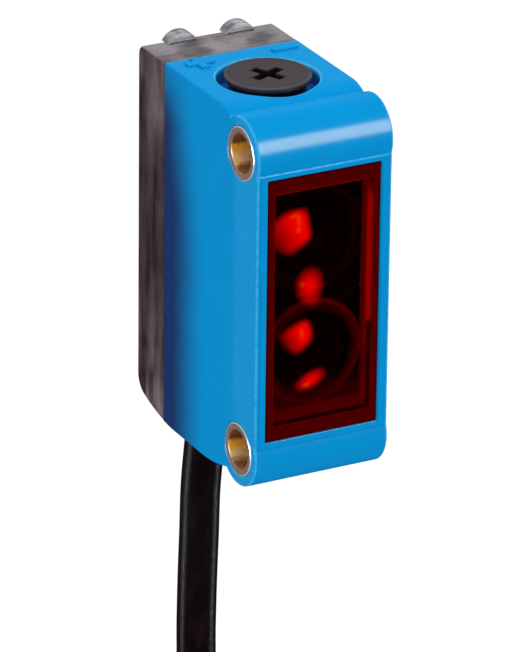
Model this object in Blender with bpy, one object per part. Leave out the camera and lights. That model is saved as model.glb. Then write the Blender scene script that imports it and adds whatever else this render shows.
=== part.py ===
"""Miniature photoelectric sensor with a knob adjuster and a two metre cable.

The sensor is drawn in its own working axes: X across the width with 0 on the mid-plane, Y from the
front (the window) to the back, Z up from the underside. An empty then moves everything so that the
world origin lies on the +X side face, midway between the two threaded inserts.
"""

import math

import bmesh
import bpy
from mathutils import Matrix, Vector

MM = 0.001

# Driving dimensions of the housing
WIDTH = 12.0 * MM
DEPTH = 21.0 * MM
HEIGHT = 31.5 * MM
INSERT_SPACING = 25.4 * MM
LOBE_RADIUS = 3.05 * MM
FRAME_FACE_Y = 0.16 * MM
EDGE_ROUNDING = 0.2 * MM
SEAM_Y = 16.2 * MM
SEAM_GAP = 0.05 * MM
COVER_WIDTH = 11.9 * MM
WALL = 1.0 * MM
FIT_GAP = 0.1 * MM
CLOSE_GAP = 0.05 * MM

# Side outline
BELLY_RADIUS = 15.0 * MM
BELLY_Y = 9.5 * MM
ROOF_BEND_RADIUS = 3.6 * MM
ROOF_BEND_Y = 6.8 * MM
HEEL_START_Y = 14.0 * MM
HEEL_RADIUS = 16.7 * MM
HEEL_CORNER = 1.8 * MM
CROWN_CORNER = 0.8 * MM

# Inserts
INSERT_RADIUS = 2.2 * MM
INSERT_BORE = 1.25 * MM
INSERT_MOUTH = 1.72 * MM
INSERT_RECESS = 0.02 * MM

# Window and optics
WINDOW_WIDTH = 10.07 * MM
WINDOW_HEIGHT = 22.4 * MM
WINDOW_BACK_Y = 1.2 * MM
WINDOW_SETBACK = 0.04 * MM
OPTICS_HALF_WIDTH = 4.5 * MM
OPTICS_FRONT_Y = 3.3 * MM
OPTICS_BACK_Y = 11.8 * MM
OPTICS_HEIGHT = 19.2 * MM
LENS_PITCH = 9.8 * MM
LENS_RADIUS = 4.4 * MM
LENS_FLANGE_Y = (2.3 * MM, 3.2 * MM)
LENS_FRONT_RISE = 0.9 * MM
LENS_BACK_RADIUS = 3.9 * MM
LENS_BACK_RISE = 1.2 * MM
TUNNEL_FRONT = 8.0 * MM
TUNNEL_BACK = 3.6 * MM

# Circuit board
BOARD_Y = (12.6 * MM, 13.4 * MM)
BOARD_HALF_WIDTH = 4.7 * MM
BOARD_Z = (1.8 * MM, 28.6 * MM)

# Adjuster
ADJUSTER_Y = 9.97 * MM
POCKET_RADIUS = 4.13 * MM
POCKET_FLOOR = 29.95 * MM
ROOF_UNDERSIDE = 28.9 * MM
KNOB_RADIUS = 3.5 * MM
KNOB_TOP = 31.8 * MM
KNOB_EDGE = 0.25 * MM
KNOB_BORE = 2.2 * MM
CROSS_SPAN = 3.1 * MM
CROSS_ARM = 0.85 * MM
CROSS_DEPTH = 0.9 * MM
CROSS_ANGLE = math.radians(23.0)

# Light guides
GUIDE_X = 2.6 * MM
GUIDE_HALF_WIDTH = 0.95 * MM
GUIDE_FRONT_Y = 19.65 * MM
DOME_BACK_Y = 20.9 * MM
DOME_RADIUS = 1.5 * MM
DOME_RISE = 0.82 * MM

# Cable
CABLE_DIAMETER = 3.4 * MM
GLAND_AT = Vector((-0.85, 18.0, 0.4)) * MM
GLAND_REAR_TILT = math.radians(7.0)
GLAND_SIDE_TILT = math.radians(1.5)
GLAND_RADIUS = 2.2 * MM
GLAND_INSIDE = 2.4 * MM
GLAND_OUTSIDE = 2.0 * MM
CONDUCTOR_RADIUS = 0.45 * MM
COIL_LAYERS = 4
COIL_COLUMNS = 4
COIL_MEAN_RADIUS = 20.4 * MM
COIL_CENTRE = Vector((-4.6, 19.5, -58.9)) * MM
COIL_JOIN_ANGLE = math.radians(21.7)
TAIL_LENGTH = 20.0 * MM
TIE_ANGLE = math.radians(62.0)

MID_HEIGHT = HEIGHT / 2
INSERT_Y = LOBE_RADIUS
LOWER_INSERT_Z = MID_HEIGHT - INSERT_SPACING / 2
UPPER_INSERT_Z = MID_HEIGHT + INSERT_SPACING / 2
FRAME_SHIFT = Vector((-WIDTH / 2, -INSERT_Y, -MID_HEIGHT))


# ---------------------------------------------------------------- materials

def make_material(name, colour, roughness, metallic=0.0, alpha=1.0):
    material = bpy.data.materials.new(name)
    material.use_nodes = True
    shader = material.node_tree.nodes["Principled BSDF"]
    shader.inputs["Base Color"].default_value = (*colour, 1.0)
    shader.inputs["Roughness"].default_value = roughness
    shader.inputs["Metallic"].default_value = metallic
    shader.inputs["Alpha"].default_value = alpha
    material.diffuse_color = (*colour, alpha)
    return material


MATERIALS = {
    "blue_plastic": ((0.0, 0.28, 0.65), 0.3, 0.0, 1.0),
    "smoked_plastic": ((0.07, 0.055, 0.06), 0.35, 0.0, 1.0),
    "light_guide": ((0.62, 0.62, 0.64), 0.2, 0.0, 1.0),
    "red_window": ((0.25, 0.0, 0.0), 0.1, 0.0, 1.0),
    "clear_lens": ((0.8, 0.8, 0.82), 0.05, 0.0, 1.0),
    "black_plastic": ((0.02, 0.02, 0.02), 0.5, 0.0, 1.0),
    "knob_plastic": ((0.06, 0.05, 0.055), 0.5, 0.0, 1.0),
    "brass": ((0.72, 0.47, 0.2), 0.3, 1.0, 1.0),
    "rubber": ((0.02, 0.02, 0.02), 0.7, 0.0, 1.0),
    "circuit_board": ((0.02, 0.2, 0.07), 0.45, 0.0, 1.0),
    "tinned_steel": ((0.7, 0.7, 0.72), 0.3, 1.0, 1.0),
    "ceramic": ((0.45, 0.3, 0.18), 0.5, 0.0, 1.0),
    "white_plastic": ((0.75, 0.75, 0.72), 0.45, 0.0, 1.0),
    "cable_jacket": ((0.015, 0.012, 0.012), 0.5, 0.0, 1.0),
    "wire_brown": ((0.16, 0.06, 0.02), 0.4, 0.0, 1.0),
    "wire_white": ((0.8, 0.8, 0.78), 0.4, 0.0, 1.0),
    "wire_blue": ((0.02, 0.1, 0.45), 0.4, 0.0, 1.0),
    "wire_black": ((0.02, 0.02, 0.02), 0.4, 0.0, 1.0),
}


# ---------------------------------------------------------------- scene helpers

def clear_scene():
    for existing in list(bpy.data.objects):
        bpy.data.objects.remove(existing, do_unlink=True)


def add_empty(name, location, parent=None):
    empty = bpy.data.objects.new(name, None)
    empty.location = location
    empty.parent = parent
    bpy.context.collection.objects.link(empty)
    return empty


def add_object(name, data, parent, material=None):
    node = bpy.data.objects.new(name, data)
    node.parent = parent
    if material is not None:
        data.materials.append(material)
    bpy.context.collection.objects.link(node)
    return node


def add_mesh(name, shape, parent, material=None, smooth_angle=35.0):
    """Turn a bmesh into an object, with its faces pointing out."""
    bmesh.ops.recalc_face_normals(shape, faces=shape.faces)
    mesh = bpy.data.meshes.new(name)
    shape.to_mesh(mesh)
    shape.free()
    mesh.shade_smooth()
    mesh.set_sharp_from_angle(angle=math.radians(smooth_angle))
    return add_object(name, mesh, parent, material)


def as_cutter(node):
    node.hide_render = True
    node.display_type = 'WIRE'
    return node


def combine(target, other, operation):
    """Add a Boolean to the target and hide the other shape."""
    modifier = target.modifiers.new(other.name, 'BOOLEAN')
    modifier.operation = operation
    modifier.solver = 'EXACT'
    modifier.object = as_cutter(other)
    return target


def cut(target, *cutters):
    for cutter in cutters:
        combine(target, cutter, 'DIFFERENCE')
    return target


def join(target, *others):
    for other in others:
        combine(target, other, 'UNION')
    return target


# ---------------------------------------------------------------- outlines

def arc(centre, radius, start, end, steps):
    """Points on a circle, from one angle to another in degrees."""
    points = []
    for step in range(steps + 1):
        angle = math.radians(start + (end - start) * step / steps)
        points.append((centre[0] + radius * math.cos(angle), centre[1] + radius * math.sin(angle)))
    return points


def direction(centre, point):
    """The angle in degrees from a centre to a point."""
    return math.degrees(math.atan2(point[1] - centre[1], point[0] - centre[0]))


def circle_crossing(centre_a, radius_a, centre_b, radius_b, side):
    """Where two circles cross; side picks which of the two points."""
    dy = centre_b[0] - centre_a[0]
    dz = centre_b[1] - centre_a[1]
    distance = math.hypot(dy, dz)
    along = (radius_a ** 2 - radius_b ** 2 + distance ** 2) / (2 * distance)
    across = side * math.sqrt(radius_a ** 2 - along ** 2)
    return (centre_a[0] + (along * dy - across * dz) / distance,
            centre_a[1] + (along * dz + across * dy) / distance)


def side_outline(lobe_steps=14, bend_steps=5, heel_steps=6, corner_steps=5):
    """The sensor seen from +X, anticlockwise from the notch behind the lower lobe."""
    lower_lobe = (INSERT_Y, LOWER_INSERT_Z)
    upper_lobe = (INSERT_Y, UPPER_INSERT_Z)
    belly = (BELLY_Y, BELLY_RADIUS)
    roof_bend = (ROOF_BEND_Y, HEIGHT - ROOF_BEND_RADIUS)
    lower_notch = circle_crossing(lower_lobe, LOBE_RADIUS, belly, BELLY_RADIUS, -1)
    upper_notch = circle_crossing(upper_lobe, LOBE_RADIUS, roof_bend, ROOF_BEND_RADIUS, 1)
    frame_rise = math.sqrt(LOBE_RADIUS ** 2 - (INSERT_Y - FRAME_FACE_Y) ** 2)
    upper_crease = (FRAME_FACE_Y, UPPER_INSERT_Z - frame_rise)
    lower_crease = (FRAME_FACE_Y, LOWER_INSERT_Z + frame_rise)

    heel = (HEEL_START_Y, HEEL_RADIUS)
    corner_y = DEPTH - HEEL_CORNER
    reach = HEEL_RADIUS - HEEL_CORNER
    corner = (corner_y, HEEL_RADIUS - math.sqrt(reach ** 2 - (corner_y - HEEL_START_Y) ** 2))
    heel_end = direction(heel, corner)
    crown = (DEPTH - CROWN_CORNER, HEIGHT - CROWN_CORNER)

    points = arc(belly, BELLY_RADIUS, direction(belly, lower_notch), -90.0, bend_steps)
    points += arc(heel, HEEL_RADIUS, -90.0, heel_end, heel_steps)
    points += arc(corner, HEEL_CORNER, heel_end, 0.0, corner_steps)[1:]
    points += arc(crown, CROWN_CORNER, 0.0, 90.0, corner_steps)
    points += arc(roof_bend, ROOF_BEND_RADIUS, 90.0, direction(roof_bend, upper_notch), bend_steps)
    points += arc(upper_lobe, LOBE_RADIUS, direction(upper_lobe, upper_notch),
                  direction(upper_lobe, upper_crease) % 360.0, lobe_steps)[1:]
    points += arc(lower_lobe, LOBE_RADIUS, direction(lower_lobe, lower_crease),
                  direction(lower_lobe, lower_notch) % 360.0, lobe_steps)[:-1]
    return points


def inset_outline(points, inset):
    """Move an anticlockwise outline inwards by the same distance everywhere."""
    moved = []
    count = len(points)
    for index in range(count):
        before = Vector(points[index - 1])
        here = Vector(points[index])
        after = Vector(points[(index + 1) % count])
        edge_in = (here - before).normalized()
        edge_out = (after - here).normalized()
        normal_in = Vector((-edge_in.y, edge_in.x))
        normal_out = Vector((-edge_out.y, edge_out.x))
        mitre = (normal_in + normal_out).normalized()
        moved.append(here + mitre * (inset / max(mitre.dot(normal_in), 0.5)))
    return [(point.x, point.y) for point in moved]


# ---------------------------------------------------------------- solids

def loft(rings):
    """A closed solid through rings of equal length, capped at both ends."""
    shape = bmesh.new()
    loops = [[shape.verts.new(point) for point in ring] for ring in rings]
    count = len(rings[0])
    for lower, upper in zip(loops, loops[1:]):
        for index in range(count):
            after = (index + 1) % count
            shape.faces.new((lower[index], lower[after], upper[after], upper[index]))
    shape.faces.new(loops[0])
    shape.faces.new(loops[-1])
    return shape


def slab_x(name, outline, x_range, parent, material=None):
    """A YZ outline extruded along X."""
    rings = [[(x, y, z) for y, z in outline] for x in x_range]
    return add_mesh(name, loft(rings), parent, material)


def slab_y(name, outline, y_range, parent, material=None):
    """An XZ outline extruded along Y."""
    rings = [[(x, y, z) for x, z in outline] for y in y_range]
    return add_mesh(name, loft(rings), parent, material)


def rounded_slab(name, outline, half_width, rounding, parent, material=None, steps=2):
    """A YZ outline extruded along X, with its two side edges rounded."""
    stations = []
    for step in range(steps + 1):
        angle = math.pi / 2 * step / steps
        inset = rounding * (1 - math.cos(angle))
        x = half_width - rounding + rounding * math.sin(angle)
        stations.append((x, inset))
    stations = [(-x, inset) for x, inset in reversed(stations)] + stations
    rings = []
    for x, inset in stations:
        rings.append([(x, y, z) for y, z in inset_outline(outline, inset)])
    return add_mesh(name, loft(rings), parent, material)


def box(name, low, high, parent, material=None):
    """A block between two corners."""
    outline = [(low[1], low[2]), (high[1], low[2]), (high[1], high[2]), (low[1], high[2])]
    return slab_x(name, outline, (low[0], high[0]), parent, material)


def turned(name, profile, placement, parent, material=None, segments=32, closed_ring=False):
    """Spin (radius, height) points about local Z, then place the solid.

    A plain profile starts and ends on the axis. A closed ring's profile never touches it.
    """
    shape = bmesh.new()
    rings = []
    for radius, height in profile:
        if radius == 0.0:
            rings.append([shape.verts.new((0.0, 0.0, height))])
            continue
        ring = []
        for segment in range(segments):
            angle = 2 * math.pi * segment / segments
            ring.append(shape.verts.new((radius * math.cos(angle), radius * math.sin(angle), height)))
        rings.append(ring)
    pairs = list(zip(rings, rings[1:]))
    if closed_ring:
        pairs.append((rings[-1], rings[0]))
    for lower, upper in pairs:
        for segment in range(segments):
            after = (segment + 1) % segments
            corners = [lower[segment % len(lower)], lower[after % len(lower)],
                       upper[after % len(upper)], upper[segment % len(upper)]]
            shape.faces.new(list(dict.fromkeys(corners)))
    shape.transform(placement)
    return add_mesh(name, shape, parent, material)


def placed(origin, axis):
    """A placement whose local Z runs along the axis from the origin."""
    return Matrix.Translation(origin) @ Vector((0, 0, 1)).rotation_difference(axis).to_matrix().to_4x4()


def tube_mesh(name, points, radius, parent, sides=10):
    """A capped tube through the points, kept from twisting."""
    points = [Vector(point) for point in points]
    side = Vector((1, 0, 0))
    rings = []
    for index, point in enumerate(points):
        ahead = points[min(index + 1, len(points) - 1)] - points[max(index - 1, 0)]
        ahead.normalize()
        side = (side - ahead * side.dot(ahead)).normalized()
        up = ahead.cross(side)
        ring = []
        for step in range(sides):
            angle = 2 * math.pi * step / sides
            ring.append(point + (side * math.cos(angle) + up * math.sin(angle)) * radius)
        rings.append(ring)
    return add_mesh(name, loft(rings), parent)


def tube_curve(name, points, radius, parent, material, resolution=2):
    """A cord or wire as a bevelled curve with filled caps."""
    curve = bpy.data.curves.new(name, 'CURVE')
    curve.dimensions = '3D'
    curve.bevel_depth = radius
    curve.bevel_resolution = resolution
    curve.use_fill_caps = True
    spline = curve.splines.new('POLY')
    spline.points.add(len(points) - 1)
    for target, point in zip(spline.points, points):
        target.co = (*point, 1.0)
    return add_object(name, curve, parent, material)


# ---------------------------------------------------------------- cord route

def smooth_path(knots, steps):
    """A smooth curve through the knots (centripetal Catmull-Rom)."""
    knots = [Vector(knot) for knot in knots]
    padded = [2 * knots[0] - knots[1]] + knots + [2 * knots[-1] - knots[-2]]
    path = []
    for index in range(1, len(padded) - 2):
        p0, p1, p2, p3 = padded[index - 1:index + 3]
        t1 = (p1 - p0).length ** 0.5
        t2 = t1 + (p2 - p1).length ** 0.5
        t3 = t2 + (p3 - p2).length ** 0.5
        for step in range(steps):
            t = t1 + (t2 - t1) * step / steps
            a1 = p0.lerp(p1, t / t1)
            a2 = p1.lerp(p2, (t - t1) / (t2 - t1))
            a3 = p2.lerp(p3, (t - t2) / (t3 - t2))
            b1 = a1.lerp(a2, t / t2)
            b2 = a2.lerp(a3, (t - t1) / (t3 - t1))
            path.append(b1.lerp(b2, (t - t1) / (t2 - t1)))
    path.append(knots[-1])
    return path


def path_length(path):
    return sum((b - a).length for a, b in zip(path, path[1:]))


def resample(path, spacing):
    """Evenly spaced points along a path, with both ends kept."""
    count = max(2, round(path_length(path) / spacing))
    step = path_length(path) / count
    points = [path[0]]
    travelled = 0.0
    for a, b in zip(path, path[1:]):
        length = (b - a).length
        while travelled + length >= step * len(points) and len(points) < count:
            points.append(a.lerp(b, (step * len(points) - travelled) / length))
        travelled += length
    points.append(path[-1])
    return points


def gland_axis():
    """The way the cable leaves: down, and a little to the back and the side."""
    return Vector((-math.tan(GLAND_SIDE_TILT), math.tan(GLAND_REAR_TILT), -1.0)).normalized()


def coil_seat(turn):
    """The layer and column of a turn: in through the +X column's layers, out through the next."""
    column, layer = divmod(turn, COIL_LAYERS)
    if column % 2 == 0:
        layer = COIL_LAYERS - 1 - layer
    return layer, COIL_COLUMNS - 1 - column


def coil_point(turns):
    """A point on the coil, counted in turns from where the lead joins it."""
    shift_start = 0.45
    bulge = 0.25
    turn = int(turns)
    layer, column = coil_seat(turn)
    next_layer, next_column = coil_seat(turn + 1)
    part = max(0.0, (turns - turn - shift_start) / (1 - shift_start))
    blend = part * part * (3 - 2 * part)
    if next_column != column:
        side = -1 if layer == 0 else 1
        layer += side * bulge * math.sin(math.pi * part)
        next_layer = layer
    layer += (next_layer - layer) * blend
    column += (next_column - column) * blend
    radius = COIL_MEAN_RADIUS + (layer - (COIL_LAYERS - 1) / 2) * CABLE_DIAMETER
    across = (column - (COIL_COLUMNS - 1) / 2) * CABLE_DIAMETER
    angle = COIL_JOIN_ANGLE + 2 * math.pi * turns
    return COIL_CENTRE + Vector((across, radius * math.sin(angle), radius * math.cos(angle)))


def lead_knots():
    """The lead from the gland to the coil, hanging down and then bending into the first turn."""
    start = GLAND_AT + gland_axis() * GLAND_OUTSIDE
    hand_placed = [(-1.0, 18.6, -4.6), (-1.08, 18.95, -8.0), (-1.14, 19.03, -12.0), (-1.2, 19.18, -16.5),
                   (-1.1, 19.52, -21.0), (-0.8, 20.15, -25.6), (-0.4, 22.0, -29.7), (0.05, 25.05, -32.95)]
    return [start] + [Vector(point) * MM for point in hand_placed]


def cord_path():
    """The cable's centre line: the lead, every turn of the coil, and the tail."""
    steps_per_turn = 24
    tail_turn = COIL_LAYERS * COIL_COLUMNS - 1 + (math.pi / 2 - COIL_JOIN_ANGLE) / (2 * math.pi)
    knots = lead_knots()
    count = round(tail_turn * steps_per_turn)
    for step in range(count + 1):
        knots.append(coil_point(tail_turn * step / count))
    tail_top = knots[-1]
    for part in (0.35, 0.7, 1.0):
        knots.append(tail_top + Vector((0.0, 1.5 * MM * part * part, -TAIL_LENGTH * part)))
    return smooth_path(knots, 4)


# ---------------------------------------------------------------- housing and cover

def build_housing(frame, materials):
    blue = materials["blue_plastic"]
    housing = rounded_slab("housing", side_outline(), WIDTH / 2, EDGE_ROUNDING, frame, blue)
    beyond = 5.0 * MM
    inner = WIDTH / 2 - WALL
    floor = 1.2 * MM
    rear_roof = HEIGHT - WALL
    roof_step_y = 15.0 * MM
    rear_space = [(6.2 * MM, floor), (SEAM_Y + beyond, floor), (SEAM_Y + beyond, rear_roof),
                  (roof_step_y, rear_roof), (roof_step_y, ROOF_UNDERSIDE), (6.2 * MM, ROOF_UNDERSIDE)]
    front_half = OPTICS_HEIGHT / 2 + FIT_GAP
    side = OPTICS_HALF_WIDTH + FIT_GAP
    window_low = MID_HEIGHT - WINDOW_HEIGHT / 2
    window_high = MID_HEIGHT + WINDOW_HEIGHT / 2
    above_axis = placed(Vector((0, ADJUSTER_Y, POCKET_FLOOR)), Vector((0, 0, 1)))
    cut(housing,
        box("cut_rear_half", (-WIDTH, SEAM_Y, -beyond), (WIDTH, DEPTH + beyond, HEIGHT + beyond), frame),
        slab_x("cut_rear_space", rear_space, (-inner, inner), frame),
        box("cut_front_space", (-side, WINDOW_BACK_Y - FIT_GAP, MID_HEIGHT - front_half),
            (side, 6.4 * MM, MID_HEIGHT + front_half), frame),
        box("cut_window", (-WINDOW_WIDTH / 2, -beyond, window_low),
            (WINDOW_WIDTH / 2, WINDOW_BACK_Y, window_high), frame),
        turned("cut_knob_pocket", [(0.0, 0.0), (POCKET_RADIUS, 0.0), (POCKET_RADIUS, beyond), (0.0, beyond)],
               above_axis, frame, segments=48),
        turned("cut_knob_bore", [(0.0, -beyond), (KNOB_BORE, -beyond), (KNOB_BORE, beyond), (0.0, beyond)],
               above_axis, frame))
    for name, z in (("cut_lower_insert", LOWER_INSERT_Z), ("cut_upper_insert", UPPER_INSERT_Z)):
        radius = INSERT_RADIUS + CLOSE_GAP
        cut(housing, turned(name, [(0.0, -WIDTH), (radius, -WIDTH), (radius, WIDTH), (0.0, WIDTH)],
                            placed(Vector((0, INSERT_Y, z)), Vector((1, 0, 0))), frame))
    join(housing, build_plus_sign(frame), build_minus_sign(frame))
    return housing


def build_plus_sign(frame):
    """The raised cross beside the knob, on the side that turns the range up."""
    length, width = 2.2 * MM, 0.55 * MM
    centre = (-3.6 * MM, 14.75 * MM)
    sunk, proud = 0.3 * MM, 0.12 * MM
    half, thin = length / 2, width / 2
    corners = [(half, thin), (thin, thin), (thin, half), (-thin, half), (-thin, thin), (-half, thin),
               (-half, -thin), (-thin, -thin), (-thin, -half), (thin, -half), (thin, -thin), (half, -thin)]
    rings = [[(centre[0] + x, centre[1] + y, HEIGHT + z) for x, y in corners] for z in (-sunk, proud)]
    return add_mesh("plus_sign", loft(rings), frame)


def build_minus_sign(frame):
    """The raised bar beside the knob, on the side that turns the range down."""
    length, width = 2.3 * MM, 0.55 * MM
    centre = (4.05 * MM, 14.75 * MM)
    sunk, proud = 0.3 * MM, 0.12 * MM
    return box("minus_sign", (centre[0] - length / 2, centre[1] - width / 2, HEIGHT - sunk),
               (centre[0] + length / 2, centre[1] + width / 2, HEIGHT + proud), frame)


def build_rear_cover(frame, materials):
    smoked = materials["smoked_plastic"]
    cover = rounded_slab("rear_cover", side_outline(), COVER_WIDTH / 2, EDGE_ROUNDING, frame, smoked)
    beyond = 5.0 * MM
    cover_face = SEAM_Y + SEAM_GAP
    inner = 4.35 * MM
    lip_half_width = WIDTH / 2 - WALL - FIT_GAP
    lip_front = 15.2 * MM
    lip_low, lip_high = 1.3 * MM, HEIGHT - WALL - FIT_GAP
    space_low, space_high = 1.85 * MM, 29.85 * MM
    space = [(lip_front - beyond, space_low), (17.5 * MM, space_low), (19.2 * MM, 2.7 * MM),
             (20.0 * MM, 3.7 * MM), (20.0 * MM, 29.2 * MM), (19.4 * MM, space_high),
             (lip_front - beyond, space_high)]
    cut(cover, box("cut_front_half", (-WIDTH, -beyond, -beyond), (WIDTH, cover_face, HEIGHT + beyond), frame))
    join(cover, box("cover_lip", (-lip_half_width, lip_front, lip_low),
                    (lip_half_width, cover_face + WALL, lip_high), frame))
    cut(cover, slab_x("cut_cover_space", space, (-inner, inner), frame))
    for name, x in (("cut_left_guide", -GUIDE_X), ("cut_right_guide", GUIDE_X)):
        half = GUIDE_HALF_WIDTH + FIT_GAP
        cut(cover, box(name, (x - half, GUIDE_FRONT_Y - CLOSE_GAP, 25.8 * MM),
                       (x + half, 20.5 * MM, HEIGHT + beyond), frame))
    return cover


def cut_gland_hole(frame, *targets):
    radius = GLAND_RADIUS + CLOSE_GAP
    inside, outside = -6.0 * MM, 4.0 * MM
    hole = turned("cut_gland", [(0.0, inside), (radius, inside), (radius, outside), (0.0, outside)],
                  placed(GLAND_AT, gland_axis()), frame)
    for target in targets:
        cut(target, hole)


def build_inserts(frame, materials):
    half = WIDTH / 2 - INSERT_RECESS
    chamfer = INSERT_MOUTH - INSERT_BORE
    profile = [(INSERT_RADIUS, -half), (INSERT_RADIUS, half), (INSERT_MOUTH, half),
               (INSERT_BORE, half - chamfer), (INSERT_BORE, chamfer - half), (INSERT_MOUTH, -half)]
    for name, z in (("lower_threaded_insert", LOWER_INSERT_Z), ("upper_threaded_insert", UPPER_INSERT_Z)):
        turned(name, profile, placed(Vector((0, INSERT_Y, z)), Vector((1, 0, 0))), frame,
               materials["brass"], closed_ring=True)


# ---------------------------------------------------------------- optics

def build_window(frame, materials):
    half_width = WINDOW_WIDTH / 2 - CLOSE_GAP
    half_height = WINDOW_HEIGHT / 2 - CLOSE_GAP
    box("front_window", (-half_width, FRAME_FACE_Y + WINDOW_SETBACK, MID_HEIGHT - half_height),
        (half_width, WINDOW_BACK_Y - CLOSE_GAP, MID_HEIGHT + half_height), frame, materials["red_window"])


def lens_centres():
    return (("emitter", MID_HEIGHT - LENS_PITCH / 2), ("receiver", MID_HEIGHT + LENS_PITCH / 2))


def build_optics_carrier(frame, materials):
    half = OPTICS_HEIGHT / 2
    carrier = box("optics_carrier", (-OPTICS_HALF_WIDTH, OPTICS_FRONT_Y, MID_HEIGHT - half),
                  (OPTICS_HALF_WIDTH, OPTICS_BACK_Y, MID_HEIGHT + half), frame, materials["black_plastic"])
    overrun = 0.5 * MM
    for name, centre_z in lens_centres():
        rings = []
        for y, size in ((OPTICS_FRONT_Y - overrun, TUNNEL_FRONT), (OPTICS_BACK_Y + overrun, TUNNEL_BACK)):
            half_size = size / 2
            corners = ((-1, -1), (1, -1), (1, 1), (-1, 1))
            rings.append([(x * half_size, y, centre_z + z * half_size) for x, z in corners])
        cut(carrier, add_mesh("cut_" + name + "_tunnel", loft(rings), frame))


def cap_profile(radius, rise, base, steps):
    """Points up a spherical cap, from its rim at the base to its middle."""
    sphere = (radius ** 2 + rise ** 2) / (2 * rise)
    points = []
    for step in range(steps + 1):
        r = radius * (1 - step / steps)
        points.append((r, base + math.sqrt(sphere ** 2 - r ** 2) - (sphere - rise)))
    points[-1] = (0.0, base + rise)
    return points


def build_lenses(frame, materials):
    flange_front, flange_back = LENS_FLANGE_Y
    half_height = LENS_PITCH / 2 - 0.3 * MM
    half_width = OPTICS_HALF_WIDTH - CLOSE_GAP
    middle = (flange_front + flange_back) / 2
    front = cap_profile(LENS_RADIUS, LENS_FRONT_RISE, middle - flange_front, 5)
    back = cap_profile(LENS_BACK_RADIUS, LENS_BACK_RISE, flange_back - middle, 5)
    back = [(r, -h) for r, h in reversed(back)]
    for name, z in lens_centres():
        lens = box(name + "_lens", (-half_width, flange_front, z - half_height),
                   (half_width, flange_back, z + half_height), frame, materials["clear_lens"])
        join(lens, turned(name + "_lens_curves", back + front,
                          placed(Vector((0, middle, z)), Vector((0, -1, 0))), frame))


# ---------------------------------------------------------------- electronics

def on_board(name, centre, size, side, frame, material):
    """A component on the board's front (side -1) or back (side 1), with a hair of solder gap."""
    x, z = centre
    width, height, depth = size
    face = BOARD_Y[1] + FIT_GAP if side > 0 else BOARD_Y[0] - FIT_GAP
    near, far = sorted((face, face + side * depth))
    return box(name, (x - width / 2, near, z - height / 2), (x + width / 2, far, z + height / 2),
               frame, material)


def build_electronics(frame, materials):
    emitter_z, receiver_z = lens_centres()[0][1], lens_centres()[1][1]
    box("main_board", (-BOARD_HALF_WIDTH, BOARD_Y[0], BOARD_Z[0]), (BOARD_HALF_WIDTH, BOARD_Y[1], BOARD_Z[1]),
        frame, materials["circuit_board"])
    emitter = on_board("emitter_led", (0.0, emitter_z), (2.0 * MM, 2.0 * MM, 0.7 * MM), -1, frame,
                       materials["white_plastic"])
    emitter_face = BOARD_Y[0] - FIT_GAP - 0.7 * MM
    join(emitter, turned("emitter_dome", [(0.0, -0.3 * MM)] + cap_profile(0.8 * MM, 0.6 * MM, 0.0, 4),
                         placed(Vector((0, emitter_face, emitter_z)), Vector((0, -1, 0))), frame))
    on_board("receiver_photodiode", (0.0, receiver_z), (2.4 * MM, 2.4 * MM, 0.6 * MM), -1, frame,
             materials["black_plastic"])
    shield = on_board("receiver_shield", (0.0, receiver_z), (3.4 * MM, 3.4 * MM, 1.2 * MM), -1, frame,
                      materials["tinned_steel"])
    shield_face = BOARD_Y[0] - FIT_GAP
    aperture = [(0.0, -0.5 * MM), (0.9 * MM, -0.5 * MM), (0.9 * MM, 2.0 * MM), (0.0, 2.0 * MM)]
    cut(shield,
        box("cut_shield_space", (-1.4 * MM, shield_face - 0.9 * MM, receiver_z - 1.4 * MM),
            (1.4 * MM, shield_face + 0.5 * MM, receiver_z + 1.4 * MM), frame),
        turned("cut_shield_aperture", aperture,
               placed(Vector((0, shield_face, receiver_z)), Vector((0, -1, 0))), frame))
    on_board("signal_processor", (0.0, 16.0 * MM), (4.0 * MM, 4.0 * MM, 0.9 * MM), 1, frame,
             materials["black_plastic"])
    on_board("voltage_regulator", (-1.6 * MM, 11.0 * MM), (2.8 * MM, 1.6 * MM, 1.1 * MM), 1, frame,
             materials["black_plastic"])
    on_board("output_transistor", (2.4 * MM, 11.0 * MM), (1.4 * MM, 2.4 * MM, 1.0 * MM), 1, frame,
             materials["black_plastic"])
    on_board("supply_capacitor", (2.9 * MM, 21.0 * MM), (1.6 * MM, 2.6 * MM, 1.3 * MM), 1, frame,
             materials["ceramic"])
    on_board("timing_capacitor", (-2.9 * MM, 21.0 * MM), (1.2 * MM, 2.0 * MM, 0.8 * MM), 1, frame,
             materials["ceramic"])
    guide_z = 26.8 * MM
    for name, x in (("power_indicator_led", -GUIDE_X), ("switching_indicator_led", GUIDE_X)):
        on_board(name, (x, guide_z), (1.6 * MM, 0.9 * MM, 0.7 * MM), 1, frame, materials["white_plastic"])


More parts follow.
